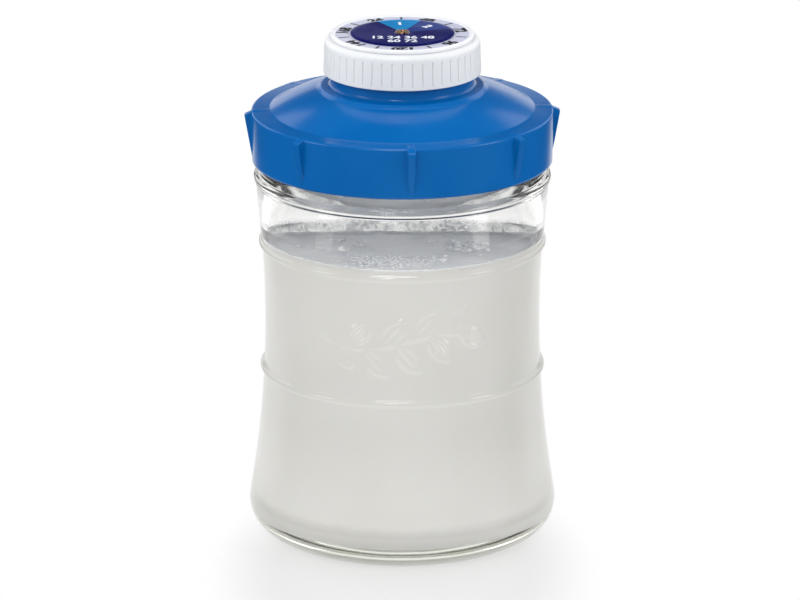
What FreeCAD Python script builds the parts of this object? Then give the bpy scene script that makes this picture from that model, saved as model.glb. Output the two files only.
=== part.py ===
import FreeCAD, Part
import math
import os
from collections import namedtuple

import Sketcher

# Glass fermentation bottle, filled with kefir.
#
# A waisted glass jar stands on a ring round its raised base. A blue screw lid with eight grip fins
# closes it and rises over a low dome to a pouring neck. A ribbed white screw cap closes the neck.
# On the cap sits a round day dial: a dished base with a raised rim, and a thin disc that turns on it,
# held by an eyelet.
#
# Frame: +Z is up along the axis of the jar, z = 0 is the surface it stands on, the front is -Y.
# Every outline below is half of a section through the axis: u is the radius and v the height.

# ----------------------------------------------------------------------------------------------
# Driving sizes, in millimetres and degrees
# ----------------------------------------------------------------------------------------------

SIZES = [
    # The jar: overall sizes. The other radii are steps in from the heel, and the levels hang from the rim.
    ("heel_radius", 53.0, "widest radius, just above the base"),
    ("jar_height", 148.0, "from the standing ring to the rim"),
    ("heel_round", 11.5, "round from the standing ring into the side"),
    ("waist_inset", 5.75, "how much slimmer the waist is than the heel"),
    ("waist_drop", 70.7, "waist below the rim"),
    ("upper_flare", 0.95, "how much wider the side is at the upper bead than at the waist"),
    ("lower_flare", 0.45, "how much wider the side is at the lower bead than at the waist"),
    ("shoulder_inset", 2.85, "how much slimmer the flare is under the neck ring"),
    ("shoulder_arc", 400.0, "arc of the flare between the upper bead and the neck ring"),
    ("collar_inset", 3.4, "how much slimmer the collar under the lid is"),
    ("collar_drop", 14.4, "top of the collar below the rim"),
    ("finish_inset", 5.0, "how much slimmer the finish inside the lid is"),
    ("rim_round", 1.5, "rounds of the rim"),
    # The jar: beads that run round it
    ("upper_bead_drop", 44.0, "upper bead below the rim"),
    ("lower_bead_drop", 88.4, "lower bead below the rim"),
    ("bead_round", 1.3, "section radius of a bead"),
    ("upper_proud", 1.1, "how far the upper bead stands out of the side"),
    ("lower_proud", 1.25, "how far the lower bead stands out of the side"),
    ("ring_drop", 21.0, "neck ring below the rim"),
    ("ring_round", 1.9, "section radius of the neck ring"),
    ("ring_proud", 0.75, "how far the neck ring stands out of the flare"),
    # The jar: glass
    ("wall", 3.0, "side"),
    ("heel_wall", 3.4, "side at the heel"),
    ("rim_wall", 4.3, "finish"),
    ("base_wall", 5.8, "base over its raised middle"),
    ("base_rise", 2.0, "rise of the underside over the standing ring"),
    ("ring_width", 3.5, "width of the flat standing ring"),
    ("floor_round", 7.5, "round from the floor into the side, inside"),
    ("throat_round", 50.0, "round from the shoulder into the mouth, inside"),
    ("throat_drop", 22.0, "lower end of the straight mouth below the rim"),
    # The kefir
    ("fill_drop", 42.5, "surface of the kefir below the rim"),
    ("fill_gap", 0.15, "between the kefir and the glass"),
    # The lid
    ("lid_depth", 15.4, "from the edge of the skirt to the seat on the rim"),
    ("lid_gap", 0.3, "between that seat and the rim"),
    ("skirt_gap", 0.35, "between the skirt and the collar of the jar"),
    ("skirt_wall", 1.35, "skirt at its lower edge"),
    ("skirt_draft", 0.3, "how much wider the skirt is at its top"),
    ("roof_wall", 2.1, "roof over the rim"),
    ("edge_round", 0.8, "round round the top of the skirt"),
    ("shelf_width", 6.3, "nearly flat shelf round the dome"),
    ("shelf_rise", 0.3, "rise of the shelf"),
    ("dome_rise", 7.2, "rise of the dome to the foot of the collar"),
    ("dome_arc", 78.0, "arc of the dome"),
    ("bore_drop", 0.8, "lower end of the neck's bore under the top of the step"),
    ("plug_gap", 0.7, "between the plug inside the lid and the mouth"),
    ("plug_height", 2.2, "plug inside the lid"),
    ("neck_radius", 24.3, "pouring neck, outside"),
    ("neck_wall", 2.0, "pouring neck"),
    ("neck_top", 41.1, "top of the pouring neck over the edge of the skirt"),
    ("step_width", 4.6, "step round the foot of the pouring neck"),
    ("step_rise", 1.0, "rise of the step"),
    ("step_slant", 1.2, "how far the edge of the step leans in"),
    ("cove_round", 1.4, "hollow between the step and the neck"),
    ("lid_turn", 3.4, "how far the front fin stands past the front"),
    # The grip fins of the lid
    ("fin_count", 8, "fins round the lid"),
    ("fin_width", 2.6, "width"),
    ("fin_reach", 2.4, "how far the tip stands out of the skirt"),
    ("fin_slope", 1.2, "how far the tip lies under the top of the roof"),
    ("fin_lift", 0.2, "how far the root stands over the round of the roof"),
    ("fin_foot", 1.1, "lower end over the edge of the skirt"),
    ("foot_width", 1.0, "width at the lower end"),
    ("foot_taper", 4.4, "height over which the lower end narrows"),
    # The cap
    ("cap_gap", 0.9, "between the skirt of the cap and the neck"),
    ("cap_wall", 1.7, "skirt at its lower edge"),
    ("cap_draft", 0.4, "how much slimmer the skirt is under its round"),
    ("cap_depth", 10.5, "from the lower edge to the seat on the neck"),
    ("cap_seat_gap", 0.1, "between that seat and the neck"),
    ("cap_roof", 1.5, "roof"),
    ("cap_round", 1.9, "round from the skirt into the roof"),
    ("rib_count", 48, "grooves round the cap"),
    ("rib_width", 0.4, "width of a groove"),
    ("rib_depth", 0.35, "depth of a groove"),
    ("rib_foot", 1.0, "lower end of a groove over the edge"),
    ("rib_top", 0.5, "upper end of a groove under the round"),
    # The day dial
    ("dial_inset", 0.15, "how far the base keeps inside the flat of the cap's roof"),
    ("dial_gap", 0.05, "between the base and the cap's roof"),
    ("dial_floor", 1.0, "thickness under the disc"),
    ("dial_rim", 0.55, "rise of the rim over the floor"),
    ("rim_width", 1.7, "width of the rim"),
    ("face_width", 5.05, "printed face left clear round the disc"),
    ("disc_wall", 0.4, "thickness of the turning disc"),
    ("disc_gap", 0.12, "between the disc, its base and the head of the eyelet"),
    ("barrel_radius", 1.5, "eyelet"),
    ("barrel_gap", 0.08, "between the eyelet and what it passes through"),
    ("eyelet_head", 2.4, "radius of the head and of the clinched foot"),
    ("eyelet_lip", 0.35, "thickness of the head and of the clinched foot"),
    ("eyelet_bore", 0.9, "radius of the bore"),
]

document = FreeCAD.newDocument("FermentationBottle")
sheet = document.addObject("Spreadsheet::Sheet", "Sizes")
for row, (alias, number, note) in enumerate(SIZES, start=1):
    sheet.set(f"A{row}", alias)
    sheet.set(f"B{row}", str(number))
    sheet.setAlias(f"B{row}", alias)
    sheet.set(f"C{row}", note)
document.recompute()


# ----------------------------------------------------------------------------------------------
# Radii and levels that follow from the sizes, as expressions over the sheet
# ----------------------------------------------------------------------------------------------

def of(text):
    """Turns each size's name in a formula into a reference to its cell."""
    words = {alias for alias, _, _ in SIZES}
    parts = text.replace("(", " ( ").replace(")", " ) ").split()
    return "(" + " ".join("Sizes." + part if part in words else part for part in parts) + ")"


WAIST_LEVEL = of("jar_height - waist_drop")
UPPER_BEAD_LEVEL = of("jar_height - upper_bead_drop")
LOWER_BEAD_LEVEL = of("jar_height - lower_bead_drop")
RING_LEVEL = of("jar_height - ring_drop")

SKIRT_INSIDE = of("heel_radius - collar_inset + skirt_gap")
SKIRT_FOOT = of("heel_radius - collar_inset + skirt_gap + skirt_wall")
SKIRT_TOP = of("heel_radius - collar_inset + skirt_gap + skirt_wall + skirt_draft")
ROOF_LEVEL = of("lid_depth + roof_wall")
DOME_FOOT_LEVEL = of("lid_depth + roof_wall + shelf_rise")
STEP_FOOT_LEVEL = of("lid_depth + roof_wall + shelf_rise + dome_rise")
STEP_TOP_LEVEL = of("lid_depth + roof_wall + shelf_rise + dome_rise + step_rise")
LID_SEAT = of("jar_height + lid_gap - lid_depth")

CAP_INSIDE = of("neck_radius + cap_gap")
CAP_FOOT = of("neck_radius + cap_gap + cap_wall")
CAP_SHOULDER = of("neck_radius + cap_gap + cap_wall - cap_draft")
CAP_TOP_LEVEL = of("cap_depth + cap_roof")
NECK_LEVEL = of("jar_height + lid_gap - lid_depth + neck_top")
CAP_SEAT = f"({NECK_LEVEL} + {of('cap_seat_gap - cap_depth')})"
DIAL_SEAT = f"({NECK_LEVEL} + {of('cap_seat_gap + cap_roof + dial_gap')})"
DISC_SEAT = f"({DIAL_SEAT} + {of('dial_floor + disc_gap')})"
DIAL_RADIUS = of("neck_radius + cap_gap + cap_wall - cap_draft - cap_round - dial_inset")
DIAL_FACE = f"({DIAL_RADIUS} - {of('rim_width')})"
BARREL_HOLE = of("barrel_radius + barrel_gap")


# ----------------------------------------------------------------------------------------------
# Sketching
# ----------------------------------------------------------------------------------------------

# A corner of an outline. u and v are expressions, or plain numbers to start from where the corner
# is free to move until the outline is smooth. run is what leads to the next corner: None for a
# straight line, or an Arc. The outline passes a smooth corner without a kink.
Corner = namedtuple("Corner", "u v run smooth", defaults=(None, False))

# An arc's radius is an expression, or None where the rest of the outline settles it. bends is the
# side that its centre lies on, and bulge a first estimate of the radius where it isn't given.
# centre_u and centre_v are expressions for the centre, where that is held.
Arc = namedtuple("Arc", "bends radius bulge centre_u centre_v", defaults=(None, None, None, None))


def number(expression):
    """Works out an expression over the sheet as a plain number."""
    result = sheet.evalExpression(expression)
    return float(getattr(result, "Value", result))


def start_value(size):
    """The number that a corner's coordinate starts from."""
    return number(size) if isinstance(size, str) else size


def origin_part(body, role):
    """One of a body's own origin planes or axes."""
    return next(part for part in body.Origin.OriginFeatures if part.Role == role)


def new_body(name):
    """A body with its own Label, which names its file."""
    body = document.addObject("PartDesign::Body", name)
    body.Label = name
    return body


def new_sketch(body, name, role="XZ_Plane"):
    """A sketch on one of the body's origin planes."""
    sketch = body.newObject("Sketcher::SketchObject", name)
    sketch.AttachmentSupport = [(origin_part(body, role), "")]
    sketch.MapMode = "FlatFace"
    return sketch


def hold(sketch, geometry, point, axis, size):
    """Ties one coordinate of a point to an expression, or puts the point on the axis where it is 0."""
    value = number(size)
    if abs(value) < 1e-9:
        own_axis = -2 if axis == "X" else -1
        sketch.addConstraint(Sketcher.Constraint("PointOnObject", geometry, point, own_axis))
        return
    rule = sketch.addConstraint(Sketcher.Constraint("Distance" + axis, -1, 1, geometry, point, value))
    sketch.setExpression(f"Constraints[{rule}]", size)


def add_run(sketch, here, there, run):
    """Draws the line or arc from one corner to the next, and names its ends in travelling order."""
    if run is None:
        return sketch.addGeometry(Part.LineSegment(here, there), False), 1, 2
    chord = there - here
    radius = number(run.radius) if run.radius else run.bulge
    to_left = FreeCAD.Vector(-chord.y, chord.x, 0).normalize()
    rise = math.sqrt(max(radius ** 2 - (chord.Length / 2) ** 2, 0))
    centre = (here + there) * 0.5 + to_left * (rise if run.bends == "left" else -rise)
    first, last = (here, there) if run.bends == "left" else (there, here)
    circle = Part.Circle(centre, FreeCAD.Vector(0, 0, 1), radius)
    turn = [math.atan2(point.y - centre.y, point.x - centre.x) for point in (first, last)]
    geometry = sketch.addGeometry(Part.ArcOfCircle(circle, turn[0], turn[1]), False)
    return (geometry, 1, 2) if run.bends == "left" else (geometry, 2, 1)


def draw(sketch, corners):
    """Draws a closed outline, and ties its corners and arcs to the sheet."""
    points = [FreeCAD.Vector(start_value(corner.u), start_value(corner.v), 0) for corner in corners]
    following = points[1:] + points[:1]
    runs = [add_run(sketch, *ends, corner.run) for *ends, corner in zip(points, following, corners)]
    for place, corner in enumerate(corners):
        before, _, before_end = runs[place - 1]
        geometry, start, _ = runs[place]
        join = "Tangent" if corner.smooth else "Coincident"
        sketch.addConstraint(Sketcher.Constraint(join, before, before_end, geometry, start))
        for axis, size in (("X", corner.u), ("Y", corner.v)):
            if isinstance(size, str):
                hold(sketch, geometry, start, axis, size)
        if corner.run is None:
            continue
        if corner.run.radius:
            value = number(corner.run.radius)
            rule = sketch.addConstraint(Sketcher.Constraint("Radius", geometry, value))
            sketch.setExpression(f"Constraints[{rule}]", corner.run.radius)
        for axis, size in (("X", corner.run.centre_u), ("Y", corner.run.centre_v)):
            if size is not None:
                hold(sketch, geometry, 3, axis, size)
    return sketch


def revolve(body, name, sketch, kind="PartDesign::Revolution"):
    """Turns a sketched half section once round the axis, to add it (or, as a Groove, to cut it)."""
    feature = body.newObject(kind, name)
    feature.Profile = sketch
    feature.ReferenceAxis = (sketch, ["V_Axis"])
    feature.Angle = 360.0
    sketch.Visibility = False
    return feature


def polar_pattern(body, name, original, count):
    """Repeats a feature evenly round the axis."""
    pattern = body.newObject("PartDesign::PolarPattern", name)
    pattern.Originals = [original]
    pattern.Axis = (origin_part(body, "Z_Axis"), [""])
    pattern.Angle = 360.0
    pattern.setExpression("Occurrences", of(count))
    body.Tip = pattern
    return pattern


def lift(body, level):
    """Puts a body at its level on the axis."""
    body.setExpression("Placement.Base.z", level)


# ----------------------------------------------------------------------------------------------
# The jar
# ----------------------------------------------------------------------------------------------

def touching_point(corner_radius, corner_round, corner_level, waist_radius, waist_level):
    """Where the round of a heel runs into the long arc of a waisted side, and that arc's radius."""
    across = waist_radius - corner_radius + corner_round
    up = waist_level - corner_level - corner_round
    arc = (across ** 2 + up ** 2 - corner_round ** 2) / (2 * (corner_round - across))
    share = corner_round / (arc + corner_round)
    u = corner_radius - corner_round + share * (across + arc)
    v = corner_level + corner_round + share * up
    return u, v, arc


def jar_outline(sketch):
    """Outside of the jar: raised base, heel, waist, flare, collar and finish, without its beads."""
    waist = of("heel_radius - waist_inset")
    upper = of("heel_radius - waist_inset + upper_flare")
    collar = of("heel_radius - collar_inset")
    finish = of("heel_radius - finish_inset")
    finish_level = of("jar_height - collar_drop + finish_inset - collar_inset")
    heel_u, heel_v, waist_arc = touching_point(
        number(of("heel_radius")), number(of("heel_round")), 0.0, number(waist), number(WAIST_LEVEL))
    base_arc = number(of("heel_radius")) ** 2 / (2 * number(of("base_rise")))
    draw(sketch, [
        Corner("0", of("base_rise"), Arc("right", bulge=base_arc, centre_u="0")),
        Corner(of("heel_radius - heel_round - ring_width"), "0"),
        Corner(of("heel_radius - heel_round"), "0", Arc("left", of("heel_round")), smooth=True),
        Corner(heel_u, heel_v, Arc("right", bulge=waist_arc, centre_v=WAIST_LEVEL), smooth=True),
        Corner(waist, WAIST_LEVEL, Arc("right", bulge=waist_arc), smooth=True),
        Corner(upper, UPPER_BEAD_LEVEL, Arc("left", of("shoulder_arc"))),
        Corner(of("heel_radius - shoulder_inset"), RING_LEVEL),
        Corner(collar, RING_LEVEL),
        Corner(collar, of("jar_height - collar_drop")),
        Corner(finish, finish_level),
        Corner(finish, of("jar_height - rim_round"), Arc("left", of("rim_round"))),
        Corner(of("heel_radius - finish_inset - rim_round"), of("jar_height")),
        Corner("0", of("jar_height")),
    ])


def cavity_outline(sketch, gap):
    """Inside of the jar up to its rim, drawn smaller all round by the gap, an expression."""
    heel = of("heel_radius - heel_wall - " + gap)
    waist = of("heel_radius - waist_inset - wall - " + gap)
    upper = of("heel_radius - waist_inset + upper_flare - wall - " + gap)
    mouth = of("heel_radius - finish_inset - rim_wall - " + gap)
    floor = of("base_rise + base_wall + " + gap)
    rounding = of("floor_round - " + gap)
    rounding_centre = of("heel_radius - heel_wall - floor_round")
    throat = of("throat_round + " + gap)
    throat_level = of("jar_height - throat_drop")
    heel_u, heel_v, waist_arc = touching_point(
        number(heel), number(rounding), number(floor), number(waist), number(WAIST_LEVEL))
    # The bulge under the throat touches the upper side where that ends, and the throat's own round.
    side_rise = number(UPPER_BEAD_LEVEL) - number(WAIST_LEVEL)
    lean = 2 * math.atan2(number(upper) - number(waist), side_rise)
    side_arc = side_rise / math.sin(lean)
    from_throat = FreeCAD.Vector(
        number(upper) - number(mouth) - number(throat), number(UPPER_BEAD_LEVEL) - number(throat_level), 0)
    inward = FreeCAD.Vector(-math.cos(lean), math.sin(lean), 0)
    over = from_throat.Length ** 2 - number(throat) ** 2
    bulge = over / (2 * (number(throat) - from_throat.dot(inward)))
    bulge_centre = from_throat + inward * bulge
    share = number(throat) / (number(throat) + bulge)
    turn_u = number(mouth) + number(throat) + share * bulge_centre.x
    turn_v = number(throat_level) + share * bulge_centre.y
    draw(sketch, [
        Corner("0", floor),
        Corner(number(rounding_centre), floor, Arc("left", rounding, centre_u=rounding_centre), smooth=True),
        Corner(heel_u, heel_v, Arc("right", bulge=waist_arc, centre_v=WAIST_LEVEL), smooth=True),
        Corner(waist, WAIST_LEVEL, Arc("right", bulge=side_arc), smooth=True),
        Corner(upper, UPPER_BEAD_LEVEL, Arc("left", bulge=bulge), smooth=True),
        Corner(turn_u, turn_v, Arc("right", throat), smooth=True),
        Corner(mouth, throat_level, smooth=True),
        Corner(mouth, of("jar_height")),
        Corner("0", of("jar_height")),
    ])


def ring_section(sketch, radius, level, rounding):
    """Section of a bead: a circle centred on a radius and a level."""
    centre = FreeCAD.Vector(number(radius), number(level), 0)
    circle = sketch.addGeometry(Part.Circle(centre, FreeCAD.Vector(0, 0, 1), number(rounding)), False)
    hold(sketch, circle, 3, "X", radius)
    hold(sketch, circle, 3, "Y", level)
    rule = sketch.addConstraint(Sketcher.Constraint("Radius", circle, number(rounding)))
    sketch.setExpression(f"Constraints[{rule}]", rounding)


def make_jar():
    """Glass jar: a revolved block with its beads, hollowed through the mouth."""
    body = new_body("jar")
    outline = new_sketch(body, "JarOutline")
    jar_outline(outline)
    revolve(body, "JarBlock", outline)

    # Each bead is a ring of round section, sunk into the side that it stands on.
    upper = "heel_radius - waist_inset + upper_flare + upper_proud - bead_round"
    lower = "heel_radius - waist_inset + lower_flare + lower_proud - bead_round"
    neck = "heel_radius - shoulder_inset + ring_proud - ring_round"
    beads = [
        ("UpperBead", upper, UPPER_BEAD_LEVEL, "bead_round"),
        ("LowerBead", lower, LOWER_BEAD_LEVEL, "bead_round"),
        ("NeckRing", neck, RING_LEVEL, "ring_round"),
    ]
    for name, radius, level, rounding in beads:
        section = new_sketch(body, name + "Section")
        ring_section(section, of(radius), level, of(rounding))
        revolve(body, name, section)

    cavity = new_sketch(body, "JarCavity")
    cavity_outline(cavity, "0")
    revolve(body, "JarHollow", cavity, "PartDesign::Groove")
    return body


def make_kefir():
    """Kefir: what fills the jar, cut level at its surface."""
    body = new_body("kefir")
    outline = new_sketch(body, "KefirOutline")
    cavity_outline(outline, "fill_gap")
    revolve(body, "KefirBlock", outline)

    surface = new_sketch(body, "KefirSurface")
    level = of("jar_height - fill_drop")
    above = of("jar_height + wall")
    beyond = of("heel_radius")
    draw(surface, [Corner("0", level), Corner(beyond, level), Corner(beyond, above), Corner("0", above)])
    revolve(body, "KefirLevel", surface, "PartDesign::Groove")
    return body


# ----------------------------------------------------------------------------------------------
# The lid
# ----------------------------------------------------------------------------------------------

def lid_outline(sketch):
    """Half section of the moulded lid, from the edge of its skirt: shelf, dome, step, neck and inside."""
    shelf_inner = f"({SKIRT_TOP} - {of('shelf_width')})"
    plug = of("heel_radius - finish_inset - rim_wall - plug_gap")
    bore = of("neck_radius - neck_wall")
    step_foot = of("neck_radius + step_width")
    step_edge = of("neck_radius + step_width - step_slant")
    cove = of("neck_radius + cove_round")
    draw(sketch, [
        Corner(SKIRT_INSIDE, "0"),
        Corner(SKIRT_FOOT, "0"),
        Corner(SKIRT_TOP, f"({ROOF_LEVEL} - {of('edge_round')})", Arc("left", of("edge_round"))),
        Corner(f"({SKIRT_TOP} - {of('edge_round')})", ROOF_LEVEL),
        Corner(shelf_inner, DOME_FOOT_LEVEL, Arc("left", of("dome_arc"))),
        Corner(step_foot, STEP_FOOT_LEVEL),
        Corner(step_edge, STEP_TOP_LEVEL),
        Corner(cove, STEP_TOP_LEVEL, Arc("right", of("cove_round"))),
        Corner(of("neck_radius"), f"({STEP_TOP_LEVEL} + {of('cove_round')})"),
        Corner(of("neck_radius"), of("neck_top")),
        Corner(bore, of("neck_top")),
        Corner(bore, f"({STEP_TOP_LEVEL} - {of('bore_drop')})", Arc("right", of("dome_arc"))),
        Corner(plug, of("lid_depth + plug_height")),
        Corner(plug, of("lid_depth")),
        Corner(SKIRT_INSIDE, of("lid_depth")),
    ])


def fin_outline(sketch):
    """Front of one grip fin: an upright bar whose lower end narrows."""
    half = of("fin_width / 2")
    half_foot = of("foot_width / 2")
    left_half = of("0 - fin_width / 2")
    left_foot = of("0 - foot_width / 2")
    top = f"({ROOF_LEVEL} + {of('fin_lift')})"
    shoulder = of("fin_foot + foot_taper")
    foot = of("fin_foot")
    draw(sketch, [
        Corner(left_foot, foot), Corner(half_foot, foot), Corner(half, shoulder),
        Corner(half, top), Corner(left_half, top), Corner(left_half, shoulder),
    ])


def fin_trim_outline(sketch):
    """What is turned off the fins: outside a cone that runs from the tips down to the skirt."""
    beyond = f"({SKIRT_TOP} + {of('fin_reach * 2')})"
    above = f"({ROOF_LEVEL} + {of('fin_reach')})"
    root = f"({SKIRT_TOP} - {of('edge_round')})"
    draw(sketch, [
        Corner(f"({SKIRT_FOOT} + {of('skirt_draft / 5')})", of("fin_foot")),
        Corner(beyond, of("fin_foot")),
        Corner(beyond, above),
        Corner(root, above),
        Corner(root, f"({ROOF_LEVEL} + {of('fin_lift')})"),
        Corner(f"({SKIRT_TOP} + {of('fin_reach')})", f"({ROOF_LEVEL} - {of('fin_slope')})"),
    ])


def make_lid():
    """Screw lid: a revolved shell with grip fins, padded from its skirt and turned to a cone."""
    body = new_body("lid")
    outline = new_sketch(body, "LidOutline")
    lid_outline(outline)
    revolve(body, "LidShell", outline)

    front = new_sketch(body, "FinOutline")
    fin_outline(front)
    front.setExpression("AttachmentOffset.Base.z", f"({SKIRT_INSIDE} + {of('skirt_wall / 2')})")
    fin = body.newObject("PartDesign::Pad", "Fin")
    fin.Profile = front
    fin.setExpression("Length", of("skirt_wall / 2 + skirt_draft + fin_reach"))
    front.Visibility = False
    polar_pattern(body, "Fins", fin, "fin_count")

    trim = new_sketch(body, "FinTrim")
    fin_trim_outline(trim)
    body.Tip = revolve(body, "FinCone", trim, "PartDesign::Groove")

    lift(body, LID_SEAT)
    body.setExpression("Placement.Rotation.Angle", of("lid_turn"))
    return body


# ----------------------------------------------------------------------------------------------
# The cap
# ----------------------------------------------------------------------------------------------

def cap_outline(sketch):
    """Half section of the cap, from its lower edge."""
    shoulder_level = of("cap_depth + cap_roof - cap_round")
    draw(sketch, [
        Corner(CAP_INSIDE, "0"),
        Corner(CAP_FOOT, "0"),
        Corner(CAP_SHOULDER, shoulder_level, Arc("left", of("cap_round"))),
        Corner(f"({CAP_SHOULDER} - {of('cap_round')})", CAP_TOP_LEVEL),
        Corner(BARREL_HOLE, CAP_TOP_LEVEL),
        Corner(BARREL_HOLE, of("cap_depth")),
        Corner(CAP_INSIDE, of("cap_depth")),
    ])


def groove_outline(sketch):
    """Side of one grip groove: a thin strip that follows the slope of the skirt."""
    low = of("rib_foot")
    high = of("cap_depth + cap_roof - cap_round - rib_top")
    slope = of("cap_draft / (cap_depth + cap_roof - cap_round)")
    low_face = f"({CAP_FOOT} - {slope} * {low})"
    high_face = f"({CAP_FOOT} - {slope} * {high})"
    depth = of("rib_depth")
    draw(sketch, [
        Corner(f"({low_face} - {depth})", low), Corner(f"({low_face} + {depth})", low),
        Corner(f"({high_face} + {depth})", high), Corner(f"({high_face} - {depth})", high),
    ])


def make_cap():
    """Screw cap: a revolved shell with grip grooves round its skirt."""
    body = new_body("cap")
    outline = new_sketch(body, "CapOutline")
    cap_outline(outline)
    revolve(body, "CapShell", outline)

    side = new_sketch(body, "GrooveOutline")
    groove_outline(side)
    groove = body.newObject("PartDesign::Pocket", "Groove")
    groove.Profile = side
    groove.Midplane = True
    groove.setExpression("Length", of("rib_width"))
    side.Visibility = False
    polar_pattern(body, "Grooves", groove, "rib_count")

    lift(body, CAP_SEAT)
    return body


# ----------------------------------------------------------------------------------------------
# The day dial
# ----------------------------------------------------------------------------------------------

def make_dial_base():
    """Base of the dial: a shallow dish whose rim stands round the printed face."""
    body = new_body("dial_base")
    outline = new_sketch(body, "DialBaseOutline")
    rim_round = of("rim_width / 2")
    rim_level = of("dial_floor + dial_rim")
    rim_spring = of("dial_floor + dial_rim - rim_width / 2")
    draw(outline, [
        Corner(BARREL_HOLE, "0"),
        Corner(DIAL_RADIUS, "0"),
        Corner(DIAL_RADIUS, rim_spring, Arc("left", rim_round)),
        Corner(f"({DIAL_RADIUS} - {rim_round})", rim_level, Arc("left", of("rim_width"))),
        Corner(DIAL_FACE, of("dial_floor")),
        Corner(BARREL_HOLE, of("dial_floor")),
    ])
    revolve(body, "DialBase", outline)
    lift(body, DIAL_SEAT)
    return body


def make_dial_disc():
    """Turning disc of the dial, with a hole for the eyelet."""
    body = new_body("dial_disc")
    outline = new_sketch(body, "DialDiscOutline")
    rim = f"({DIAL_FACE} - {of('face_width')})"
    top = of("disc_wall")
    draw(outline, [Corner(BARREL_HOLE, "0"), Corner(rim, "0"), Corner(rim, top), Corner(BARREL_HOLE, top)])
    revolve(body, "DialDisc", outline)
    lift(body, DISC_SEAT)
    return body


def make_eyelet():
    """Eyelet: a tube with a rolled head over the disc and a clinched foot under the cap's roof."""
    body = new_body("dial_eyelet")
    outline = new_sketch(body, "EyeletOutline")
    foot = of("0 - disc_gap * 2 - dial_floor - dial_gap - cap_roof - eyelet_lip")
    foot_top = of("0 - disc_gap * 2 - dial_floor - dial_gap - cap_roof")
    head = of("disc_wall + disc_gap")
    head_top = of("disc_wall + disc_gap + eyelet_lip")
    lip = of("eyelet_lip")
    edge = of("eyelet_head")
    draw(outline, [
        Corner(of("eyelet_bore"), foot),
        Corner(edge, foot),
        Corner(edge, foot_top),
        Corner(of("barrel_radius"), foot_top),
        Corner(of("barrel_radius"), head),
        Corner(edge, head, Arc("left", lip)),
        Corner(of("eyelet_head - eyelet_lip"), head_top),
        Corner(of("eyelet_bore + eyelet_lip"), head_top, Arc("left", lip)),
        Corner(of("eyelet_bore"), head),
    ])
    revolve(body, "Eyelet", outline)
    lift(body, DISC_SEAT)
    return body


# ----------------------------------------------------------------------------------------------
# Build, check and write
# ----------------------------------------------------------------------------------------------

def check(bodies):
    """Stops if any object failed, any sketch is loose, or any solid isn't one valid solid."""
    for item in document.Objects:
        if {"Invalid", "Error"} & set(item.State):
            raise RuntimeError(f"{item.Label} failed: {item.State}")
        if item.TypeId == "Sketcher::SketchObject" and not item.FullyConstrained:
            raise RuntimeError(f"{item.Label} isn't fully constrained")
    for body in bodies:
        shape = body.Shape
        if shape.isNull() or not shape.isValid() or len(shape.Solids) != 1:
            raise RuntimeError(f"{body.Label} isn't one valid solid")


def write(bodies):
    """Writes each body's solid to a file of its own name."""
    os.makedirs("parts", exist_ok=True)
    for body in bodies:
        body.Shape.exportStep(f"parts/{body.Label}.step")
        box = body.Shape.optimalBoundingBox()
        print(f"{body.Label}: {body.Shape.Volume:.0f} mm3, z {box.ZMin:.2f} to {box.ZMax:.2f}, "
              f"radius {max(box.XMax, box.YMax):.2f}")


makers = [make_jar, make_kefir, make_lid, make_cap, make_dial_base, make_dial_disc, make_eyelet]
pieces = [make() for make in makers]
document.recompute()
check(pieces)
write(pieces)
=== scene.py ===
"""Looks of a glass fermentation bottle filled with kefir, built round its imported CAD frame.

The bottle is a waisted glass jar with a blue screw lid, a ribbed white cap and a round day dial on
top. Outlines are half sections through the axis, in millimetres; meshes are in metres. The front
of the bottle is -Y and the surface it stands on is z = 0.
"""

import logging
import math
import random
from collections.abc import Callable, Sequence
from dataclasses import dataclass, field
from enum import Enum
from functools import cache

import bmesh
import bpy
import numpy as np
from mathutils import Matrix, Vector


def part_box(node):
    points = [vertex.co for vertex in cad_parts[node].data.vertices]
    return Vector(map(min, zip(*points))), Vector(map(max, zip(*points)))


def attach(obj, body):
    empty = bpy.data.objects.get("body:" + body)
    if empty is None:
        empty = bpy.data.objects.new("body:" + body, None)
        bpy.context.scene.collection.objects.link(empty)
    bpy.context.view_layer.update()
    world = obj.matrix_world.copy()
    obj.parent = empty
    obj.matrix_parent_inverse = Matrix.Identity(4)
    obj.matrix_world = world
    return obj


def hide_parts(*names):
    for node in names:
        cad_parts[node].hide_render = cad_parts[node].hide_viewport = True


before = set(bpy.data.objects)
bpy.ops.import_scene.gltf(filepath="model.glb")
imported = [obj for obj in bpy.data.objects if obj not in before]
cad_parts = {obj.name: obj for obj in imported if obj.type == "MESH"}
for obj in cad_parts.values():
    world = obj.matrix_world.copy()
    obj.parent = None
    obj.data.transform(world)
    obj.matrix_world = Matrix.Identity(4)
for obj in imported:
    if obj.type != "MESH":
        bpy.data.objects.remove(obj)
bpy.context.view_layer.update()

MM = 0.001
FRONT = -90.0
log = logging.getLogger("bottle")

Colour = tuple[float, float, float, float]
Point = tuple[float, float]
Socket = bpy.types.NodeSocket

WHITE: Colour = (1.0, 1.0, 1.0, 1.0)
BLACK: Colour = (0.0, 0.0, 0.0, 1.0)


class Body(Enum):
    """The bodies of the frame."""

    BOTTLE = "bottle"
    DIAL = "dial"


class Slot(Enum):
    """The material slots of the record."""

    GLASS = "clear_glass"
    KEFIR = "kefir"
    LID = "lid_blue"
    CAP = "cap_white"
    DIAL_PRINT = "dial_print"
    DISC_PRINT = "disc_print"
    EYELET = "eyelet_brass"


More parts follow.
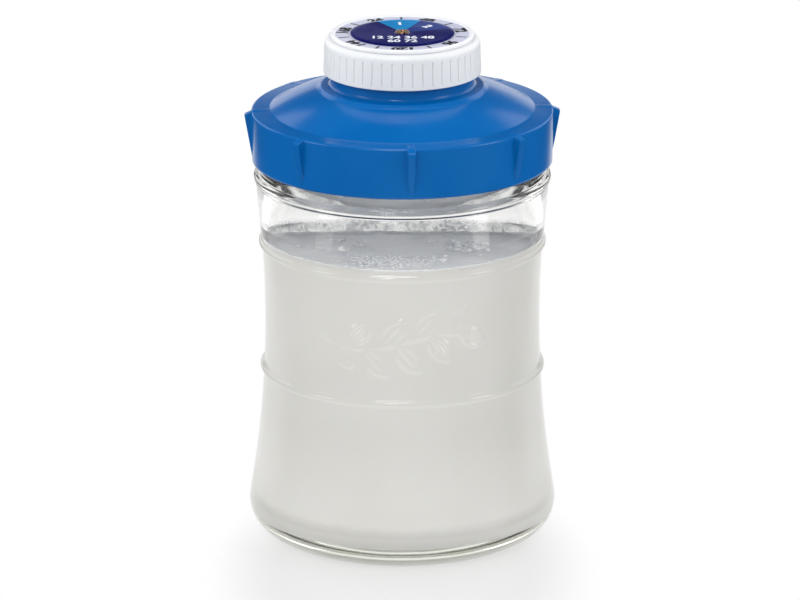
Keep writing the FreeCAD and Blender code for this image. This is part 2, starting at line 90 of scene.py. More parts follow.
def shade(red: float, green: float, blue: float) -> Colour:
    """Turns a display colour of 0 to 255 into the linear one that shaders take.

    Args:
        red: Red, 0 to 255.
        green: Green, 0 to 255.
        blue: Blue, 0 to 255.

    Returns:
        The linear colour with an alpha of 1.
    """
    linear = []
    for value in (red, green, blue):
        share = value / 255
        linear.append(share / 12.92 if share <= 0.04045 else ((share + 0.055) / 1.055) ** 2.4)
    return (linear[0], linear[1], linear[2], 1.0)


def smooth_step(value: np.ndarray) -> np.ndarray:
    """Eases 0 to 1 in and out, and holds it outside."""
    held = np.clip(value, 0.0, 1.0)
    return held * held * (3.0 - 2.0 * held)


# --- Outlines and turned shells ---


@dataclass
class Outline:
    """Half of a section through the axis, drawn corner by corner in millimetres.

    Outlines run counter-clockwise: out along the underside, up the outside, and back to the axis.
    """

    corners: list[tuple[float, float, float]] = field(default_factory=list)

    def to(self, radius: float, level: float, rounding: float = 0.0) -> "Outline":
        """Runs straight to a corner, which is rounded off where rounding is given."""
        self.corners.append((radius, level, rounding))
        return self

    def through(self, points: Sequence[Point]) -> "Outline":
        """Runs through several points in turn."""
        self.corners.extend((radius, level, 0.0) for radius, level in points)
        return self

    def arc(self, radius: float, level: float, bend: float, steps: int = 10) -> "Outline":
        """Runs to a point along an arc.

        Args:
            radius: Radius of the end point.
            level: Level of the end point.
            bend: The arc's own radius, positive where its centre lies left of the way there.
            steps: Straight pieces that stand for the arc.

        Returns:
            The outline itself.
        """
        start = np.array(self.corners[-1][:2])
        chord = np.array([radius, level]) - start
        length = float(np.hypot(*chord))
        across = np.array([-chord[1], chord[0]]) / length
        half = math.asin(min(1.0, length / 2 / abs(bend)))
        side = math.copysign(1.0, bend)
        for step in range(1, steps + 1):
            turn = half * (2 * step / steps - 1)
            along = start + chord * (0.5 + math.sin(turn) * abs(bend) / length)
            off = abs(bend) * (math.cos(turn) - math.cos(half))
            place = along - across * off * side
            self.to(float(place[0]), float(place[1]))
        return self

    def points(self, steps: int = 4) -> list[Point]:
        """Works the outline out with its roundings.

        Args:
            steps: Straight pieces that stand for a rounding.

        Returns:
            Radius and level of each point.
        """
        made: list[Point] = []
        last = len(self.corners) - 1
        for index, (radius, level, rounding) in enumerate(self.corners):
            here = Vector((radius, level))
            if rounding <= 0 or index in (0, last):
                made.append((radius, level))
                continue
            before = Vector(self.corners[index - 1][:2]) - here
            after = Vector(self.corners[index + 1][:2]) - here
            spread = before.angle(after)
            reach = min(rounding / math.tan(spread / 2), before.length * 0.48, after.length * 0.48)
            radius_made = reach * math.tan(spread / 2)
            start = here + before.normalized() * reach
            end = here + after.normalized() * reach
            middle = (before.normalized() + after.normalized()).normalized()
            centre = here + middle * (radius_made / math.sin(spread / 2))
            first, final = start - centre, end - centre
            sweep = first.angle_signed(final)
            for step in range(steps + 1):
                spoke = Matrix.Rotation(-sweep * step / steps, 2) @ first
                made.append(tuple(centre + spoke))
        return made


@dataclass
class Grid:
    """Places of a turned mesh: a row for each point of its outline, a column for each angle."""

    radii: np.ndarray
    levels: np.ndarray
    angles: np.ndarray

    def across(self, count: int, radius: float, turn: float = 0.0) -> np.ndarray:
        """Works out how far each place is from the nearest of several spots set evenly round.

        Args:
            count: How many spots go round.
            radius: Radius of the circle that the distance is measured on.
            turn: Angle of one of the spots, in degrees.

        Returns:
            The distances, in millimetres.
        """
        pitch = 360.0 / count
        off = (self.angles - turn + pitch / 2) % pitch - pitch / 2
        return np.abs(np.radians(off)) * radius


def even_angles(count: int) -> np.ndarray:
    """Angles in degrees, evenly spaced all round."""
    return np.arange(count) * 360.0 / count


def repeated_angles(one: np.ndarray, count: int) -> np.ndarray:
    """Angles of one share of a circle, repeated until they go all round."""
    pitch = 360.0 / count
    return np.concatenate([one + part * pitch for part in range(count)])


def turned(
    name: str,
    points: Sequence[Point],
    angles: np.ndarray,
    shaping: Callable[[Grid], None] | None = None,
    closed: bool = False,
    lift: float = 0.0,
) -> bpy.types.Mesh:
    """Turns an outline round the axis into a mesh.

    Args:
        name: Name of the mesh.
        points: Radius and level of each point of the outline, in millimetres.
        angles: Angle of each column of the mesh, in degrees.
        shaping: Changes the radii and levels of the grid.
        closed: Whether the outline's end joins its start.
        lift: How far the mesh is raised, in millimetres.

    Returns:
        The mesh, in metres, with its faces smooth and turned outwards.
    """
    outline = np.array(points, float)
    rows, count = len(outline), len(angles)
    turns = np.radians(np.broadcast_to(angles, (rows, count)))
    radii, levels = (np.repeat(outline[:, axis, None], count, 1) for axis in (0, 1))
    grid = Grid(radii, levels, np.degrees(turns))
    if shaping:
        shaping(grid)
    sides = [grid.radii * np.cos(turns), grid.radii * np.sin(turns), grid.levels]
    places = np.stack(sides, -1).reshape(-1, 3) * MM
    on_axis = outline[:, 0] < 1e-6

    def corner(row: int, column: int) -> int:
        """Index of a place, where a row on the axis has only one."""
        return row * count + (0 if on_axis[row] else column % count)

    faces = []
    for row in range(rows if closed else rows - 1):
        above = (row + 1) % rows
        for column in range(count):
            after = column + 1
            ring = [corner(row, column), corner(row, after), corner(above, after), corner(above, column)]
            face = list(dict.fromkeys(ring))
            if len(face) > 2:
                faces.append(face)
    mesh = bpy.data.meshes.new(name)
    mesh.from_pydata(places.tolist(), [], faces)
    shell = bmesh.new()
    shell.from_mesh(mesh)
    bmesh.ops.delete(shell, geom=[v for v in shell.verts if not v.link_faces], context="VERTS")
    bmesh.ops.recalc_face_normals(shell, faces=shell.faces)
    shell.to_mesh(mesh)
    shell.free()
    mesh.shade_smooth()
    if lift:
        mesh.transform(Matrix.Translation((0, 0, lift * MM)))
    return mesh


def joined(name: str, parts: Sequence[tuple[bpy.types.Mesh, Matrix]]) -> bpy.types.Mesh:
    """Joins copies of meshes, each put in its place, into one mesh.

    Args:
        name: Name of the new mesh.
        parts: Each mesh with the matrix that places it.

    Returns:
        The joined mesh.
    """
    whole = bmesh.new()
    for mesh, place in parts:
        start = len(whole.verts)
        whole.from_mesh(mesh)
        whole.verts.ensure_lookup_table()
        bmesh.ops.transform(whole, matrix=place, verts=whole.verts[start:])
    result = bpy.data.meshes.new(name)
    whole.to_mesh(result)
    whole.free()
    return result


@dataclass
class Piece:
    """One visible piece: its mesh, what it rides on and what it is made of."""

    name: str
    mesh: bpy.types.Mesh
    materials: Sequence[bpy.types.Material]
    slot: Slot
    body: Body = Body.BOTTLE
    stands_for: str | None = None
    weighted: bool = True

    def place(self) -> None:
        """Adds the piece to the scene and ties it to its body."""
        piece = bpy.data.objects.new(self.name, self.mesh)
        bpy.context.scene.collection.objects.link(piece)
        for material in self.materials:
            self.mesh.materials.append(material)
        if self.weighted:
            piece.modifiers.new("even_shading", "WEIGHTED_NORMAL").keep_sharp = True
        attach(piece, self.body.value)
        if self.stands_for:
            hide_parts(self.stands_for)
        triangles = sum(len(face.vertices) - 2 for face in self.mesh.polygons)
        log.info("%s: %d triangles, rides on %s", self.name, triangles, self.body.value)


# --- Nodes and shared effects ---


class NodeSheet:
    """Adds nodes to one tree and joins them."""

    def __init__(self, tree: bpy.types.NodeTree) -> None:
        """Starts on a tree."""
        self.tree = tree

    def add(self, kind: str, inputs: dict | None = None, **settings: object) -> bpy.types.Node:
        """Adds a node.

        Args:
            kind: Type of the node, without its ShaderNode prefix.
            inputs: A value or another node's output for each input, by name or index.
            settings: The node's own settings.

        Returns:
            The node.
        """
        prefix = "" if kind.startswith("NodeGroup") else "ShaderNode"
        node = self.tree.nodes.new(prefix + kind)
        for key, value in settings.items():
            setattr(node, key, value)
        for key, value in (inputs or {}).items():
            socket = node.inputs[key]
            if isinstance(value, Socket):
                self.tree.links.new(value, socket)
            else:
                socket.default_value = value
        return node

    def math(self, operation: str, *values: object) -> Socket:
        """Adds a Math node and gives its result."""
        return self.add("Math", dict(enumerate(values)), operation=operation).outputs[0]

    def between(self, mask: object, low: object, high: object) -> Socket:
        """Mixes two colours by a mask and gives the result."""
        return self.add("Mix", {0: mask, 6: low, 7: high}, data_type="RGBA").outputs[2]

    def ranged(
        self, value: object, low: float, high: float, start: float = 0.0, end: float = 1.0
    ) -> Socket:
        """Carries a value from one range into another and eases its ends."""
        inputs = {"Value": value, "From Min": low, "From Max": high, "To Min": start, "To Max": end}
        return self.add("MapRange", inputs, interpolation_type="SMOOTHSTEP").outputs[0]

    def place(self) -> Socket:
        """Gives the object coordinates."""
        return self.add("TexCoord").outputs["Object"]

    def sides(self) -> bpy.types.bpy_prop_collection:
        """Gives the object coordinates one by one, as X, Y and Z."""
        return self.add("SeparateXYZ", {0: self.place()}).outputs

    def noise(self, size: object, detail: float = 2.0, roughness: float = 0.5) -> Socket:
        """Adds noise.

        Args:
            size: Size of its lumps in metres, a number or a socket.
            detail: How many finer layers it has.
            roughness: How strong the finer layers are.

        Returns:
            The strength of the noise.
        """
        scale = self.math("DIVIDE", 1.0, size) if isinstance(size, Socket) else 1 / size
        inputs = {"Vector": self.place(), "Scale": scale, "Detail": detail, "Roughness": roughness}
        return self.add("TexNoise", inputs).outputs["Fac"]

    def bump(self, height: Socket, distance: float, strength: float) -> Socket:
        """Raises the surface by a height and gives its normal."""
        inputs = {"Height": height, "Distance": distance, "Strength": strength}
        return self.add("Bump", inputs).outputs[0]

    def group(self, tree: bpy.types.NodeTree, **values: float) -> list[Socket]:
        """Places a group with its own values and gives its outputs in order."""
        return list(self.add("Group", values, node_tree=tree).outputs)


class MaterialSheet(NodeSheet):
    """The nodes of one new material."""

    def __init__(self, name: str) -> None:
        """Starts a material that has only its output.

        Args:
            name: Name of the material.
        """
        self.material = bpy.data.materials.new(name)
        self.material.use_nodes = True
        self.material.node_tree.nodes.clear()
        super().__init__(self.material.node_tree)
        self.output = self.add("OutputMaterial").inputs

    def finished(self, shader: bpy.types.Node) -> bpy.types.Material:
        """Puts a shader on the surface and gives the material."""
        self.tree.links.new(shader.outputs[0], self.output["Surface"])
        return self.material


class GroupSheet(NodeSheet):
    """The nodes of one new node group, whose sockets are plain numbers."""

    def __init__(self, name: str, inputs: dict[str, float], outputs: Sequence[str]) -> None:
        """Starts a group.

        Args:
            name: Name of the group.
            inputs: Each input with its usual value.
            outputs: Name of each output.
        """
        tree = bpy.data.node_groups.new(name, "ShaderNodeTree")
        for key, value in inputs.items():
            socket = tree.interface.new_socket(key, in_out="INPUT", socket_type="NodeSocketFloat")
            socket.default_value = value
        for key in outputs:
            tree.interface.new_socket(key, in_out="OUTPUT", socket_type="NodeSocketFloat")
        super().__init__(tree)
        self.given = self.add("NodeGroupInput").outputs
        self.results = self.add("NodeGroupOutput").inputs

    def give(self, **values: Socket) -> bpy.types.NodeTree:
        """Sends a value to each output.

        Args:
            values: The value for each output, by name.

        Returns:
            The finished group.
        """
        for key, value in values.items():
            self.tree.links.new(value, self.results[key])
        return self.tree


@cache
def moulded_grain() -> bpy.types.NodeTree:
    """The skin of moulded plastic: a fine grain over slow, faint drifts of tone.

    Returns:
        A group that takes the size of grain and drifts in metres, and gives a tone mask and a height.
    """
    sheet = GroupSheet("moulded_grain", {"Grain": 0.0004, "Drift": 0.02}, ["Tone", "Height"])
    grain = sheet.noise(sheet.given["Grain"], detail=3.0)
    drift = sheet.noise(sheet.given["Drift"])
    tone = sheet.math("ADD", drift, sheet.math("MULTIPLY", grain, 0.25))
    return sheet.give(Tone=sheet.ranged(tone, 0.4, 0.85), Height=grain)


@cache
def milk_clots() -> bpy.types.NodeTree:
    """The body of fermented milk: slow clouds with fine clots in them.

    Returns:
        A group that takes the size of clouds and clots in metres and gives their masks.
    """
    sheet = GroupSheet("milk_clots", {"Cloud": 0.03, "Clot": 0.0015}, ["Clouds", "Clots"])
    cloud = sheet.noise(sheet.given["Cloud"], detail=3.0)
    clot = sheet.noise(sheet.given["Clot"], detail=4.0, roughness=0.6)
    return sheet.give(Clouds=sheet.ranged(cloud, 0.35, 0.65), Clots=sheet.ranged(clot, 0.35, 0.7))


@dataclass(frozen=True)
class MouldedPlastic:
    """Moulded plastic with a fine satin grain."""

    name: str
    colour: Colour
    lighter: Colour
    roughness: float = 0.32
    grain: float = 0.0004
    drift: float = 0.03
    depth: float = 0.00001
    specular: float = 0.5
    glow: float = 0.0

    def build(self) -> bpy.types.Material:
        """Builds the material.

        Returns:
            The material.
        """
        sheet = MaterialSheet(self.name)
        tone, height = sheet.group(moulded_grain(), Grain=self.grain, Drift=self.drift)
        look = {
            "Base Color": sheet.between(tone, self.colour, self.lighter),
            "Roughness": sheet.ranged(tone, 0.0, 1.0, self.roughness, self.roughness + 0.06),
            "Specular IOR Level": self.specular,
            "Normal": sheet.bump(height, self.depth, 0.5),
        }
        if self.glow:
            look["Subsurface Weight"] = self.glow
            look["Subsurface Radius"] = (0.002, 0.002, 0.002)
            look["Subsurface Scale"] = 1.0
        return sheet.finished(sheet.add("BsdfPrincipled", look))


@dataclass(frozen=True)
class ClearGlass:
    """Thick pressed glass with the faint green of soda glass, which lets lamps through."""

    name: str = "clear_glass"
    tint: Colour = (0.74, 0.76, 0.64, 1.0)
    depth: float = 8.0
    index: float = 1.5

    def build(self) -> bpy.types.Material:
        """Builds the material.

        Returns:
            The material.
        """
        sheet = MaterialSheet(self.name)
        glass = sheet.add("BsdfPrincipled", {
            "Base Color": WHITE,
            "Roughness": 0.0,
            "IOR": self.index,
            "Transmission Weight": 1.0,
            "Normal": sheet.bump(sheet.noise(9.0 * MM, detail=1.0), 0.0004, 0.12),
        })
        murk = sheet.add("VolumeAbsorption", {"Color": self.tint, "Density": self.depth})
        sheet.tree.links.new(murk.outputs[0], sheet.output["Volume"])
        shadow = sheet.add("LightPath").outputs["Is Shadow Ray"]
        ways = {0: shadow, 1: glass.outputs[0], 2: sheet.add("BsdfTransparent").outputs[0]}
        return sheet.finished(sheet.add("MixShader", ways))


@dataclass(frozen=True)
class KefirBody:
    """Kefir as it shows against the glass or at its own surface, with painted shade that darkens it low
    down.
    """

    name: str
    thick: Colour
    thin: Colour
    roughness: float
    specular: float
    depth: float
    low_shade: float = 0.0
    low_shade_levels: Point = (0.1, 0.045)
    foot_levels: Point = (0.008, 0.02)

    def build(self) -> bpy.types.Material:
        """Builds the material.

        Returns:
            The material.
        """
        sheet = MaterialSheet(self.name)
        clouds, clots = sheet.group(milk_clots())
        mask = sheet.math("MULTIPLY_ADD", clots, 0.25, clouds)
        tone = sheet.between(mask, self.thin, self.thick)
        # Painted shade: the colour darkens from 100 mm down to 45 mm, and eases off again below 20 mm,
        # to even out the light on the lower kefir.
        if self.low_shade:
            level = sheet.sides()["Z"]
            lower = sheet.ranged(level, *self.low_shade_levels, 0.0, self.low_shade)
            painted_shade = sheet.math("MULTIPLY", lower, sheet.ranged(level, *self.foot_levels, 0.1, 1.0))
            tone = sheet.between(painted_shade, tone, BLACK)
        return sheet.finished(sheet.add("BsdfPrincipled", {
            "Base Color": tone,
            "Roughness": self.roughness,
            "Specular IOR Level": self.specular,
            "Subsurface Weight": 0.25,
            "Subsurface Radius": (0.004, 0.0035, 0.003),
            "Subsurface Scale": 1.0,
            "Normal": sheet.bump(clots, self.depth, 0.6),
        }))


@dataclass(frozen=True)
class MilkFilm:
    """Kefir left on the glass above its surface: thickest at its lower edge, then broken up."""

    name: str
    colour: Colour
    low: float
    high: float
    back: Point = (-0.015, 0.025)
    front_share: float = 0.18
    cloud: float = 0.008
    clot: float = 0.0012

    def build(self) -> bpy.types.Material:
        """Builds the material, whose film stands tall only at the back of the jar.

        Returns:
            The material.
        """
        sheet = MaterialSheet(self.name)
        clouds, clots = sheet.group(milk_clots(), Cloud=self.cloud, Clot=self.clot)
        place = sheet.sides()
        front = self.low + (self.high - self.low) * self.front_share
        tall = sheet.ranged(place["Y"], *self.back, front, self.high)
        left = sheet.math("SUBTRACT", tall, place["Z"])
        share = sheet.math("DIVIDE", left, sheet.math("SUBTRACT", tall, self.low))
        broken = sheet.math("MULTIPLY_ADD", clots, 0.6, 0.5)
        patchy = sheet.math("MULTIPLY", broken, sheet.ranged(clouds, 0.0, 1.0, 0.55, 1.0))
        return sheet.finished(sheet.add("BsdfPrincipled", {
            "Base Color": self.colour,
            "Roughness": 0.4,
            "Specular IOR Level": 0.2,
            "Alpha": sheet.math("MULTIPLY", patchy, sheet.ranged(share, 0.0, 0.5)),
        }))


@dataclass(frozen=True)
class SpunBrass:
    """Copper-gold metal with a fine grain and darker tarnish."""

    name: str = "eyelet_brass"
    colour: Colour = (0.80, 0.52, 0.28, 1.0)
    darker: Colour = (0.55, 0.32, 0.16, 1.0)

    def build(self) -> bpy.types.Material:
        """Builds the material.

        Returns:
            The material.
        """
        sheet = MaterialSheet(self.name)
        tarnish = sheet.ranged(sheet.noise(1.2 * MM), 0.4, 0.7)
        return sheet.finished(sheet.add("BsdfPrincipled", {
            "Base Color": sheet.between(tarnish, self.colour, self.darker),
            "Metallic": 1.0,
            "Roughness": sheet.ranged(tarnish, 0.0, 1.0, 0.22, 0.4),
            "Normal": sheet.bump(sheet.noise(0.25 * MM, detail=3.0), 0.00002, 0.4),
        }))


# --- The jar ---


def touching(corner: Point, rounding: float, waist: Point) -> tuple[float, float, float]:
    """Finds where the round of a lower corner runs into the arc of the waist.

    Args:
        corner: Radius and level that the round is tucked into.
        rounding: Radius of the round.
        waist: Radius and level of the waist, where its arc runs upright.

    Returns:
        Radius and level of the place where they touch, and the radius of the waist's arc.
    """
    across = waist[0] - corner[0] + rounding
    up = waist[1] - corner[1] - rounding
    arc = (across**2 + up**2 - rounding**2) / (2 * (rounding - across))
    share = rounding / (arc + rounding)
    radius = corner[0] - rounding + share * (across + arc)
    return radius, corner[1] + rounding + share * up, arc


@dataclass
class SprigRelief:
    """A sprig of leaves raised on the front of the glass."""

    length: float = 58.0
    level: float = 81.5
    half_height: float = 15.5
    margin: float = 3.0
    sway: float = 2.6
    stem_short: float = 6.0
    first_leaf: float = 5.0
    last_leaf: float = 9.0
    leaves: int = 9
    leaf_length: float = 11.5
    leaf_width: float = 5.4
    leaf_stalk: float = 0.8
    leaf_fullness: float = 0.85
    vein_share: float = 0.75
    lean: float = 52.0
    step: float = 0.3
    leaf_steps: int = 80
    stroke: float = 1.35
    height: float = 0.54

    def stem_level(self, across: float) -> float:
        """Level of the stem at a distance across the front."""
        return self.level + self.sway * math.sin(across / self.length * 2 * math.pi)

    def strokes(self) -> np.ndarray:
        """Works out points close together along the stem, round each leaf and along its vein.

        Returns:
            Distance across the front and level of each point.
        """
        half = self.length / 2
        last = self.leaves - 1
        leafy = self.length - self.first_leaf - self.last_leaf
        drawn = [(x, self.stem_level(x)) for x in np.arange(-half, half - self.stem_short, self.step)]
        for leaf in range(self.leaves):
            side = 1 if leaf % 2 else -1
            foot = -half + self.first_leaf + leaf * leafy / last
            turn = math.radians(side * self.lean * (1 - 0.5 * (leaf == last)))
            size = self.leaf_length * (0.82 + 0.18 * math.sin(math.pi * leaf / last))
            for step in range(self.leaf_steps + 1):
                share = step / self.leaf_steps
                along = size * share + self.leaf_stalk
                swell = self.leaf_width / 2 * math.sin(math.pi * share) ** self.leaf_fullness
                bulges = (-swell, swell) if share > self.vein_share else (-swell, swell, 0.0)
                for bulge in bulges:
                    x = foot + along * math.cos(turn) - bulge * math.sin(turn)
                    z = self.stem_level(foot) + along * math.sin(turn) + bulge * math.cos(turn)
                    drawn.append((x, z))
        return np.array(drawn)

    def raised(self, across: np.ndarray, levels: np.ndarray) -> np.ndarray:
        """Works out how far the relief stands out of the glass.

        Args:
            across: Distance of each place across the front, in millimetres.
            levels: Level of each place.

        Returns:
            The height of the relief at each place.
        """
        far, batch = 9.0, 4000
        marks = self.strokes()
        reach = np.full(across.shape, far)
        beside = np.abs(across) < self.length / 2 + self.margin
        near = beside & (np.abs(levels - self.level) < self.half_height + 0.5)
        places = np.stack([across[near], levels[near]], -1)
        nearest = np.empty(len(places))
        for start in range(0, len(places), batch):
            apart = places[start:start + batch, None, :] - marks[None, :, :]
            nearest[start:start + batch] = np.sqrt((apart**2).sum(-1).min(1))
        reach[near] = nearest
        return self.height * (1 - smooth_step(reach / self.stroke))


@dataclass
class GlassJar:
    """The waisted glass jar: raised base, heel, two beads, neck ring, threaded finish and rim."""

    heel_radius: float = 53.0
    heel_round: float = 11.5
    ring_width: float = 3.5
    base_rise: float = 2.0
    base_wall: float = 5.8
    waist: Point = (47.25, 77.3)
    bead_round: float = 1.3
    upper_bead: Point = (49.3, 104.0)
    lower_bead: Point = (48.95, 59.6)
    upper_side: float = 48.2
    shoulder_arc: float = 400.0
    ring_foot: float = 50.15
    neck_ring: Point = (50.9, 127.0)
    neck_ring_round: float = 1.9
    collar_radius: float = 49.6
    collar_top: float = 133.6
    finish_radius: float = 48.0
    rim_round: float = 1.5
    wall: float = 3.0
    heel_wall: float = 3.4
    floor_round: float = 7.5
    mouth_radius: float = 43.7
    throat: Point = (42.9, 129.0)
    throat_round: float = 24.0
    fillet: float = 0.4
    thread_start: float = 4.2
    thread_height: float = 1.2
    thread_half_width: float = 1.3
    thread_pitch: float = 5.5
    thread_turns: float = 1.35
    thread_fade: float = 14.0
    relief: SprigRelief = field(default_factory=SprigRelief)
    finish: ClearGlass = field(default_factory=ClearGlass)

    def __post_init__(self) -> None:
        """Takes the level of the rim from the frame, and works out where the heel ends."""
        self.rim_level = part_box("jar")[1].z / MM
        self.heel_end = touching((self.heel_radius, 0.0), self.heel_round, self.waist)

    def side(self, levels: np.ndarray) -> np.ndarray:
        """Works out the outside between the heel and the collar, without beads.

        Args:
            levels: Levels to give it at.

        Returns:
            The radius at each level.
        """
        rise = self.upper_bead[1] - self.waist[1]
        flare = self.upper_side - self.waist[0]
        upper_arc = (rise**2 + flare**2) / (2 * flare)
        off = levels - self.waist[1]
        bend = np.where(off < 0, self.heel_end[2], upper_arc)
        radii = self.waist[0] + bend - np.sqrt(bend**2 - np.clip(np.abs(off), 0, 70.0) ** 2)
        run = self.neck_ring[1] - self.upper_bead[1]
        share = np.clip((levels - self.upper_bead[1]) / run, 0.0, 1.0)
        sag = run**2 / (8 * self.shoulder_arc)
        straight = self.upper_side + (self.ring_foot - self.upper_side) * share
        shoulder = straight + 4 * sag * share * (1 - share)
        radii = np.where(levels > self.upper_bead[1], shoulder, radii)
        return np.where(levels > self.neck_ring[1], self.collar_radius, radii)

    def with_bead(
        self, radii: np.ndarray, levels: np.ndarray, crest: Point, rounding: float
    ) -> np.ndarray:
        """Raises a bead on the side, with a fillet at its foot.

        Args:
            radii: Radius of the side at each level.
            levels: The levels.
            crest: Radius and level of the bead's crest.
            rounding: Radius of its section.

        Returns:
            The radii with the bead.
        """
        off = np.clip((levels - crest[1]) / rounding, -1.0, 1.0)
        sunk = 4.0 * (np.abs(off) >= 1.0)
        bead = crest[0] - rounding * (1 - np.sqrt(1 - off**2)) - sunk
        blend = np.clip(1 - np.abs(radii - bead) / self.fillet, 0.0, 1.0)
        return np.maximum(radii, bead) + blend**2 * self.fillet / 4

    def outside(self) -> list[Point]:
        """Works out the side, in short steps at the beads and over the relief.

        Returns:
            Radius and level of each point.
        """
        bead_reach, bead_step = 3.0, 0.22
        # Each stop is a level and the step from there on.
        stops = [(self.heel_end[1], 3.2)]
        between = {self.lower_bead: 0.4, self.upper_bead: 1.6, self.neck_ring: 0.0}
        for crest, after in between.items():
            stops += [(crest[1] - bead_reach, bead_step), (crest[1] + bead_reach, after)]
        stops.insert(3, (self.relief.level + self.relief.half_height, 1.0))
        runs = []
        for (low, step), (high, _) in zip(stops, stops[1:]):
            runs.append(np.linspace(low, high, max(2, round((high - low) / step)), endpoint=False))
        levels = np.concatenate(runs)
        radii = self.side(levels)
        rounds = (self.bead_round, self.bead_round, self.neck_ring_round)
        for crest, rounding in zip(between, rounds):
            radii = self.with_bead(radii, levels, crest, rounding)
        return list(zip(radii.tolist(), levels.tolist()))

    def cavity(self, gap: float, top: float) -> Outline:
        """Draws the inside of the jar from the middle of its floor upwards.

        Args:
            gap: How far the outline stands off the glass, negative to reach into it.
            top: Level at which the outline ends.

        Returns:
            The outline.
        """
        floor = self.base_rise + self.base_wall + gap
        waist = (self.waist[0] - self.wall - gap, self.waist[1])
        upper = self.upper_side - self.wall - gap
        mouth = self.mouth_radius - gap
        narrow, narrow_level = self.throat[0] - gap, self.throat[1]
        heel = self.heel_radius - self.heel_wall - gap
        rounding = self.floor_round - gap
        heel_radius, heel_level, waist_arc = touching((heel, floor), rounding, waist)
        rise = self.upper_bead[1] - waist[1]
        lean = 2 * math.atan2(upper - waist[0], rise)
        side_arc = rise / math.sin(lean)
        throat = self.throat_round + gap
        from_throat = np.array([upper - narrow - throat, self.upper_bead[1] - narrow_level])
        inward = np.array([-math.cos(lean), math.sin(lean)])
        bulge = (from_throat @ from_throat - throat**2) / (2 * (throat - from_throat @ inward))
        turn = np.array([narrow + throat, narrow_level])
        turn = turn + (from_throat + inward * bulge) * throat / (throat + bulge)
        whole = Outline().to(0.0, floor).to(heel - rounding, floor)
        whole.arc(heel_radius, heel_level, rounding, 12).arc(*waist, -waist_arc, 24)
        whole.arc(upper, self.upper_bead[1], -side_arc, 12).arc(float(turn[0]), float(turn[1]), bulge, 8)
        whole.arc(narrow, narrow_level, -throat, 8).to(narrow, narrow_level + 2.0)
        whole.to(mouth, narrow_level + 3.4).to(mouth, self.rim_level)
        kept = [corner for corner in whole.corners if corner[1] < top]
        last = whole.corners[len(kept)]
        share = (top - kept[-1][1]) / (last[1] - kept[-1][1])
        edge = kept[-1][0] + share * (last[0] - kept[-1][0])
        return Outline(kept).to(edge, top)

    def outline(self) -> list[Point]:
        """Draws the whole section of the glass, from the underside round to the floor inside.

        Returns:
            Radius and level of each point.
        """
        foot = self.heel_radius - self.heel_round
        flat = foot - self.ring_width
        shell = Outline().to(0.0, self.base_rise).arc(flat, 0.0, -flat**2 / (2 * self.base_rise))
        shell.to(foot, 0.0).arc(*self.heel_end[:2], self.heel_round, 16).through(self.outside()[1:])
        shell.to(self.collar_radius, self.collar_top, 0.6)
        shell.to(self.finish_radius, self.collar_top + 1.6, 0.5)
        for level in np.arange(self.collar_top + 2.6, self.rim_level - self.rim_round - 0.3, 0.5):
            shell.to(self.finish_radius, float(level))
        shell.to(self.finish_radius, self.rim_level, self.rim_round)
        shell.to(self.mouth_radius, self.rim_level, 0.8)
        shell.through(self.cavity(0.0, self.rim_level - 2.0).points()[::-1])
        return shell.points(5)

    def shape_surface(self, grid: Grid) -> None:
        """Raises the sprig on the front and the thread round the finish.

        Args:
            grid: The places of the glass.
        """
        levels = grid.levels
        outer = grid.radii > self.waist[0] - 1.0
        across = np.radians(grid.angles - FRONT) * self.waist[0]
        raised = self.relief.raised(np.where(outer, across, 99.0), levels)
        grid.radii += np.where(outer, raised, 0.0)
        finish = outer & (levels > self.collar_top + 1.8) & (levels < self.rim_level - 1.6)
        for wind in range(math.ceil(self.thread_turns)):
            run = (grid.angles - FRONT) % 360.0 / 360.0 + wind
            middle = self.collar_top + self.thread_start + run * self.thread_pitch
            end = np.clip((self.thread_turns - run) * self.thread_fade, 0.0, 1.0)
            ends = end * np.clip(run * self.thread_fade, 0.0, 1.0)
            ridge = 1 - smooth_step(np.abs(levels - middle) / self.thread_half_width)
            grid.radii += np.where(finish, ridge * ends * self.thread_height, 0.0)

    def build(self) -> None:
        """Builds the glass, with its columns close together over the relief."""
        reach = math.degrees((self.relief.length / 2 + self.relief.margin) / self.waist[0])
        runs = []
        for start, end, step in ((-reach, reach, 0.46), (reach, 360.0 - reach, 2.6)):
            count = round((end - start) / step)
            runs.append(np.linspace(FRONT + start, FRONT + end, count, endpoint=False))
        mesh = turned("jar_glass", self.outline(), np.concatenate(runs), self.shape_surface)
        Piece("jar_glass", mesh, [self.finish.build()], Slot.GLASS, stands_for="jar").place()


# --- The kefir ---


@dataclass
class BubbleCluster:
    """Bubbles scattered round a place on the surface."""

    across: float
    back: float
    spread: Point
    count: int
    sizes: Point


